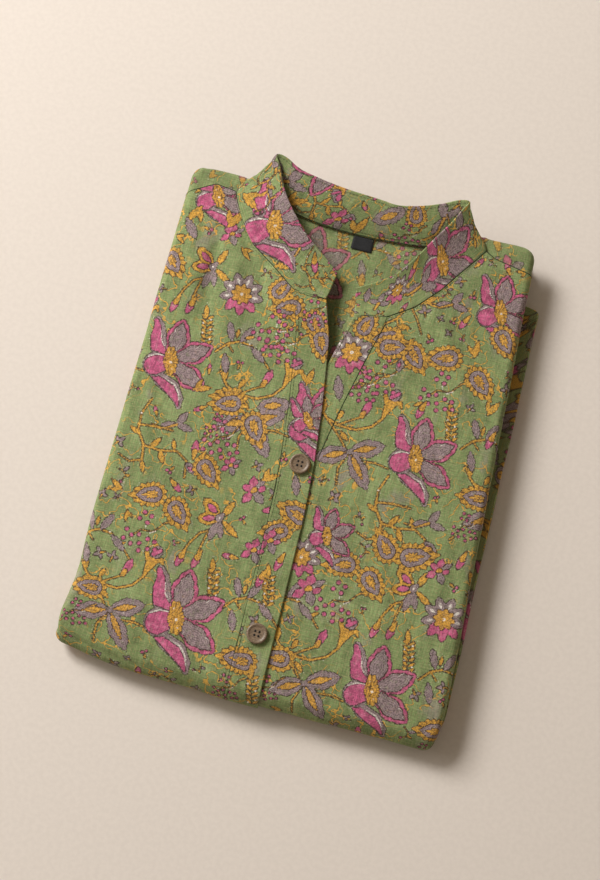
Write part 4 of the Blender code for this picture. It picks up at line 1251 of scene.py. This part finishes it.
def outline_of(corners, radii, step):
    """A rounded plan outline through corners, with its outward directions and its run.

    The first two corners are rounded by the first radius and the others by the second.
    """
    corners = [np.array(c, float) for c in corners]
    points = []
    for i, corner in enumerate(corners):
        before, after = corners[i - 1] - corner, corners[(i + 1) % len(corners)] - corner
        to_before, to_after = np.linalg.norm(before), np.linalg.norm(after)
        pull = min(radii[0] if i < 2 else radii[1], 0.45 * to_before, 0.45 * to_after)
        start, end = corner + before / to_before * pull, corner + after / to_after * pull
        for t in np.linspace(0, 1, 9):
            points.append(start * (1 - t) ** 2 + corner * 2 * t * (1 - t) + end * t ** 2)
    points = np.array(points + [points[0]])
    whole = lengths(points)
    count = int(whole[-1] / step)
    at = np.arange(count) / count * whole[-1]
    line = np.stack([np.interp(at, whole, points[:, i]) for i in (0, 1)], axis=-1)
    ahead = np.roll(line, -1, axis=0) - np.roll(line, 1, axis=0)
    normal = np.stack((ahead[:, 1], -ahead[:, 0]), axis=-1)
    normal /= np.linalg.norm(normal, axis=1, keepdims=True)
    return line, normal, at


def folded_slab(name, corners, base, layers, thick, radii, seed, start, caps=True):
    """Cloth folded flat: a stack of layers with rounded folds at the edges, and a flat top and underside."""
    line, normal, at = outline_of(corners, radii, EDGE_STEP)
    centre = line.mean(axis=0)
    rows, heights = [], []
    for layer in range(layers):
        wander = 0.5 * np.sin(at / 43 + seed + 2.1 * layer) + 0.3 * np.sin(at / 17 + 1.7 * seed + layer) - 0.8
        if layer == 0:
            wander = np.minimum(wander, -0.6)
        for share in (0.04, 0.2, 0.5, 0.8, 0.96):
            drawn = (1 - math.sin(math.pi * share)) * 0.5 * thick
            z = np.full((len(at), 1), base + thick * (layer + share))
            rows.append(np.concatenate((line + normal * (wander - drawn)[:, None], z), axis=1))
            heights.append(thick * 1.5 * (layer + share))

    def ring(row, share, z):
        """A row drawn in toward the middle, at its own height."""
        return np.concatenate((centre + (row[:, :2] - centre) * share, z), axis=1)

    under = [0.98, 0.95, 0.9] + list(np.linspace(0.84, 0.02, 46)) if caps else [0.9, 0.02]
    bottom = [ring(rows[0], share, np.full((len(at), 1), base)) for share in under[::-1]]
    top = [ring(rows[-1], share, rows[-1][:, 2:] - sunk) for share, sunk in ((0.95, 0), (0.8, 2), (0.02, 6))]
    points = np.stack(bottom + rows + top)
    spot = points[..., :2].copy()
    for k, height in enumerate(heights):
        spot[len(bottom) + k] += normal * (height + PRINT_START)
    spot[len(bottom) + len(rows):] += TOP_PRINT
    made = new_object(name, points, grid_faces(*points.shape[:2], loop=True), COTTON)
    flat_spot = spot * np.array([-1, 1]) if caps else spot
    return dress(made, spot, tiled(flat_spot[..., 0], flat_spot[..., 1], start))


def tube(points, radius, sides=6):
    """A closed round tube's rings along points."""
    points = np.asarray(points, float)
    run = np.gradient(points, axis=0)
    run /= np.linalg.norm(run, axis=1, keepdims=True)
    side = np.cross(run, (0, 0, 1.0))
    side /= np.maximum(np.linalg.norm(side, axis=1, keepdims=True), 1e-6)
    up = np.cross(side, run)
    turns = np.arange(sides) / sides * 2 * math.pi
    around = side[:, None] * np.cos(turns)[:, None] + up[:, None] * np.sin(turns)[:, None]
    rings = points[:, None] + radius * around
    return rings.reshape(-1, 3), grid_faces(len(points), sides, loop=True)


def joined(name, parts, material):
    """One object from many small meshes, each (points, faces)."""
    points, faces, count = [], [], 0
    for part_points, part_faces in parts:
        points.append(part_points)
        faces += [[i + count for i in face] for face in part_faces]
        count += len(part_points)
    return new_object(name, np.concatenate(points), faces, material)


def even(points, step):
    """Points about step apart along a line."""
    whole = lengths(np.asarray(points, float))[-1]
    return along(points, np.linspace(0, 1, max(3, int(whole / step))))


def stitches(points, length=2.3, gap=0.9, radius=0.2):
    """Separate stitches along a line of points."""
    points = np.asarray(points, float)
    whole = lengths(points)[-1]
    parts = []
    start = gap
    while start + length < whole:
        ends = along(points, np.linspace(start, start + length, 4) / whole)
        ends[0, 2] -= radius
        ends[-1, 2] -= radius
        parts.append(tube(ends, radius, 5))
        start += length + gap
    return parts


def on_cloth(line, height_at, lift=0.0):
    """A line of cloth sizes laid on the surface that height_at gives."""
    line = np.asarray(line, float)
    return place(line[:, 0], line[:, 1], height_at(line[:, 0], line[:, 1]) + lift)


def seams_and_stitches(middle, out, up):
    """Seam lines as dark tubes, painted shade in the seam grooves and under the collar's foot, and rows of
    stitches.
    """
    lines = []
    for line, height_at, lift in ((NECK_LEFT, left_height, 0.05), (NECK_RIGHT, right_height, 0.15)):
        lines.append(on_cloth(even(line, 2.0) - np.array([0, 0.2]), height_at, lift))
    for line, height_at in ((SHOULDER_LEFT, left_height), (SHOULDER_RIGHT, right_height)):
        shown = even([(max(x, LEFT_X - 4), y) for x, y in line], 2.0)
        lines.append(on_cloth(shown, height_at, -0.05))
    b = np.linspace(UPPER_EDGE[1][0] - 18, 130, 190)
    seam = np.stack((read(UPPER_EDGE, b) - PLACKET_WIDTH + SEAM_GAP / 2, b), axis=-1)
    lines.append(on_cloth(seam, left_height, -0.3))
    b = np.linspace(0, 124, 80)
    seam = np.stack((read(UNDER_EDGE, b) + UNDER_WIDTH - SEAM_GAP / 2, b), axis=-1)
    lines.append(on_cloth(seam, right_height, -0.02))
    # Along the collar's foot: painted shade of the collar on the cloth
    lines.append(even(middle[:, 0] + out[:, 0] * (COLLAR_WALL / 2 - 0.05) - up[:, 0] * 0.6, 2.0))
    # All these dark tubes are painted shade, not cloth
    joined("seam_shadow_lines", [tube(line, SEAM_SHADOW_RADIUS) for line in lines], SEAM_SHADOW)

    b = np.linspace(UPPER_EDGE[1][0] - 16, 128, 200)
    a = read(UPPER_EDGE, b) - PLACKET_WIDTH + 2.2
    rows = stitches(place(a, b, PLACKET_LIFT + neck_raise(a, b) - bottom_sag(a, b) + 0.08))
    b = np.linspace(30, 122, 60)
    line = np.stack((read(UNDER_EDGE, b) + 1.6, b), axis=-1)
    rows += stitches(place(line[:, 0], line[:, 1], neck_raise(line[:, 0], line[:, 1]) + 0.08))
    top = middle[:, -1] + out[:, -1] * (COLLAR_WALL / 2 + 0.02) - up[:, -1] * 1.8
    rows += stitches(top)
    low_edge = middle[:, 0] + out[:, 0] * (COLLAR_WALL / 2 + 0.04) + up[:, 0] * 2.0
    rows += stitches(low_edge)
    for line, height_at in ((NECK_LEFT, left_height), (NECK_RIGHT, right_height)):
        shifted = [(x + math.copysign(0.8, x), y - 1.8) for x, y in line]
        rows += stitches(on_cloth(even(shifted, 2.0), height_at, 0.06))
    joined("stitches", rows, THREAD)


def button(name, a, b):
    """A four-hole coconut button, sewn on with dark thread; its holes are dark discs on its solid face,
    thread and painted shade.
    """
    # Radius and height, from the underside over the rim to the hollow face
    profile = (
        (6.4, 0.0), (7.9, 0.7), (8.45, 1.3), (8.6, 1.7), (8.5, 2.2), (8.1, 2.6), (7.5, 2.78),
        (6.9, 2.7), (6.4, 2.45), (6.0, 2.15), (5.2, 2.02), (3.0, 2.0),
    )
    face = profile[-1][1]
    hole_out, hole_radius = 2.45, 0.95
    sides = 56
    turns = np.arange(sides) / sides * 2 * math.pi
    base = place(a, b, PLACKET_LIFT + GAP)
    rings = np.array([
        [(radius * math.cos(t), radius * math.sin(t), z) for t in turns] for radius, z in profile
    ])
    points = np.concatenate((rings.reshape(-1, 3), ((0, 0, 0), (0, 0, face)))) + base
    faces = grid_faces(len(rings), sides, loop=True)
    bottom, top = len(rings) * sides, len(rings) * sides + 1
    last = (len(rings) - 1) * sides
    faces += [[bottom, (i + 1) % sides, i] for i in range(sides)]
    faces += [[top, last + i, last + (i + 1) % sides] for i in range(sides)]
    made = new_object("shell_" + name, points, faces, COCONUT)
    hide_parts(name)
    discs, threads = [], []
    # Dark discs on the solid face stand for the holes: thread in them and the painted shade of the holes
    for turn in np.radians((45, 135, 225, 315)):
        x, y = hole_out * math.cos(turn), hole_out * math.sin(turn)
        disc = [
            (x + hole_radius * math.cos(t), y + hole_radius * math.sin(t), face + 0.03) for t in turns[::4]
        ]
        discs.append((np.array(disc) + base, [list(range(len(disc)))]))
        for side in (-0.35, 0.35):
            arc = [(x + side, y + 0.8 * t, face + 0.25 * (1 - t * t)) for t in np.linspace(-1, 1, 5)]
            threads.append(tube(np.array(arc) + base, 0.26))
    joined("hole_thread_and_shade_" + name, discs, BUTTON_THREAD)
    joined("thread_" + name, threads, BUTTON_THREAD)


def label():
    """The bare woven label on the inside of the back, with its ends turned under."""
    width, depth = LABEL_SIZE
    rows = []
    for v in np.linspace(-0.5, 0.5, 16):
        line = []
        for u in np.linspace(-0.5, 0.5, 26):
            edge = max(abs(u), abs(v)) * 2
            rise = 1.0 - 0.55 * smooth((edge - 0.86) / 0.14) + 0.08 * math.sin(u * 9)
            x, y = LABEL_CENTRE[0] + u * width, LABEL_CENTRE[1] + v * depth
            line.append(place(x, y, -BACK_STEP + GAP + rise - neck_dip(x, y)))
        rows.append(line)
    points = np.array(rows)
    made = new_object("tape_label", points, grid_faces(16, 26), TAPE)
    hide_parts("size_label")
    parts = []
    for side in (-1, 1):
        x = LABEL_CENTRE[0] + side * (width / 2 - 1.2)
        y = np.array([LABEL_CENTRE[1] + depth / 2 - 3.0, LABEL_CENTRE[1] + depth / 2 + 0.8])
        end_line = place(x, y, -BACK_STEP + GAP + 1.05 - neck_dip(x, y))
        parts += stitches(end_line, length=2.0, gap=0.5, radius=0.16)
    joined("label_stitches", parts, THREAD)


# The photograph's viewpoint: degrees, metres, and pixels of its 600 by 880 frame
AZIMUTH, ELEVATION, DISTANCE, TARGET_HEIGHT = 15, 77, 1.70, 0.010
FRAME_HEIGHT, PIXELS_PER_METRE, SHIFT_PIXELS = 880, 1200, 15
FLOOR_SIZE, FLOOR_DROP = 8, 0.0004
FLOOR_DARK, FLOOR_LIGHT = (0.756, 0.678, 0.604), (0.788, 0.709, 0.633)
SKY, SKY_STRENGTH = (1.0, 0.85, 0.68, 1), 0.225
# Name, place, size, power, colour
LIGHTS = (
    ("key", (-2.33, 1.47, 1.95), 1.25, 130.0, (1.0, 0.993, 0.985)),
    ("side", (-2.40, 0.10, 1.30), 1.6, 15.0, (1.0, 0.995, 0.985)),
    ("fill", (1.3, -0.9, 1.5), 2.2, 0.8, (1.0, 0.92, 0.82)),
)


def pale_floor():
    bpy.ops.mesh.primitive_plane_add(size=FLOOR_SIZE, location=(0, 0, -FLOOR_DROP))
    floor = bpy.context.object
    floor.name = "floor"
    n = Nodes("pale floor")
    grain = n.noise(n.add("ShaderNodeTexCoord").outputs["Object"], 260, 3)
    n.link(n.mix(n.ramp(grain, 0.3, 0.7), FLOOR_DARK, FLOOR_LIGHT), n.shader.inputs["Base Color"])
    n.shader.inputs["Roughness"].default_value = 0.9
    n.shader.inputs["Specular IOR Level"].default_value = 0.1
    floor.data.materials.append(n.material)


def stage_and_camera():
    """A pale floor, soft light from the upper left and the photograph's viewpoint."""
    pale_floor()
    turn, rise = math.radians(AZIMUTH), math.radians(ELEVATION)
    away = Vector((math.cos(rise) * math.sin(turn), -math.cos(rise) * math.cos(turn), math.sin(rise)))
    lens = bpy.data.cameras.new("camera")
    lens.sensor_fit = "VERTICAL"
    lens.angle_y = 2 * math.atan(FRAME_HEIGHT / 2 / (PIXELS_PER_METRE * DISTANCE))
    lens.shift_y = SHIFT_PIXELS / FRAME_HEIGHT
    camera = bpy.data.objects.new("camera", lens)
    camera.location = Vector(SHIFT / 1000) + Vector((0, 0, TARGET_HEIGHT)) + away * DISTANCE
    camera.rotation_euler = (-away).to_track_quat("-Z", "Y").to_euler()
    bpy.context.scene.collection.objects.link(camera)
    bpy.context.scene.camera = camera
    for name, spot_at, size, power, colour in LIGHTS:
        light = bpy.data.lights.new(name, "AREA")
        light.size = size
        light.energy = power
        light.color = colour
        lamp = bpy.data.objects.new(name, light)
        lamp.location = spot_at
        lamp.rotation_euler = (-Vector(spot_at)).to_track_quat("-Z", "Y").to_euler()
        bpy.context.scene.collection.objects.link(lamp)
    world = bpy.data.worlds.new("studio")
    world.use_nodes = True
    world.node_tree.nodes["Background"].inputs["Color"].default_value = SKY
    world.node_tree.nodes["Background"].inputs["Strength"].default_value = SKY_STRENGTH
    bpy.context.scene.world = world
    bpy.context.scene.view_settings.view_transform = "Standard"


stage_and_camera()
front(
    "front_left", -1, NECK_LEFT, SHOULDER_LEFT, lambda b: read(UPPER_EDGE, b) - PLACKET_WIDTH,
    left_height, LEFT_FLOWERS, LEFT_EXTRAS,
)
front(
    "front_right", 1, NECK_RIGHT, SHOULDER_RIGHT, lambda b: read(UNDER_EDGE, b) + UNDER_WIDTH,
    right_height, RIGHT_FLOWERS, RIGHT_EXTRAS,
)
band(
    "placket_upper", UPPER_EDGE, PLACKET_WIDTH, 1, NECK_LEFT, lift=PLACKET_LIFT, wrap=BOTTOM_WRAP,
    extras=UPPER_BAND_EXTRAS, flowers=LEFT_FLOWERS,
)
band(
    "placket_under", UNDER_EDGE, UNDER_WIDTH, -1, NECK_RIGHT, lift=0.0, wrap=UNDER_WRAP,
    extras=UNDER_BAND_EXTRAS, flowers=RIGHT_FLOWERS,
)
back()
seams_and_stitches(*collar())
lower = folded_slab(
    "cloth_lower_body", LOWER_CORNERS, base=0.0, layers=4, thick=2.25,
    radii=(28.0, 5.0), seed=0.4, start=(30, 60),
)
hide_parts("folded_layers")
flaps = folded_slab(
    "cloth_side_flaps", FLAP_CORNERS, base=12.8, layers=3, thick=2.3,
    radii=(22.0, 8.0), seed=1.9, start=(70, 20), caps=False,
)
for sleeve_name, corners, seed in (("sleeve_left", SLEEVE_LEFT, 3.1), ("sleeve_right", SLEEVE_RIGHT, 4.4)):
    sleeve = folded_slab(
        "cloth_" + sleeve_name, corners, base=9.2, layers=2, thick=1.75,
        radii=(9.0, 9.0), seed=seed, start=(40, -30), caps=False,
    )
    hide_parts(sleeve_name)
for button_row in BUTTONS:
    button(*button_row)
label()
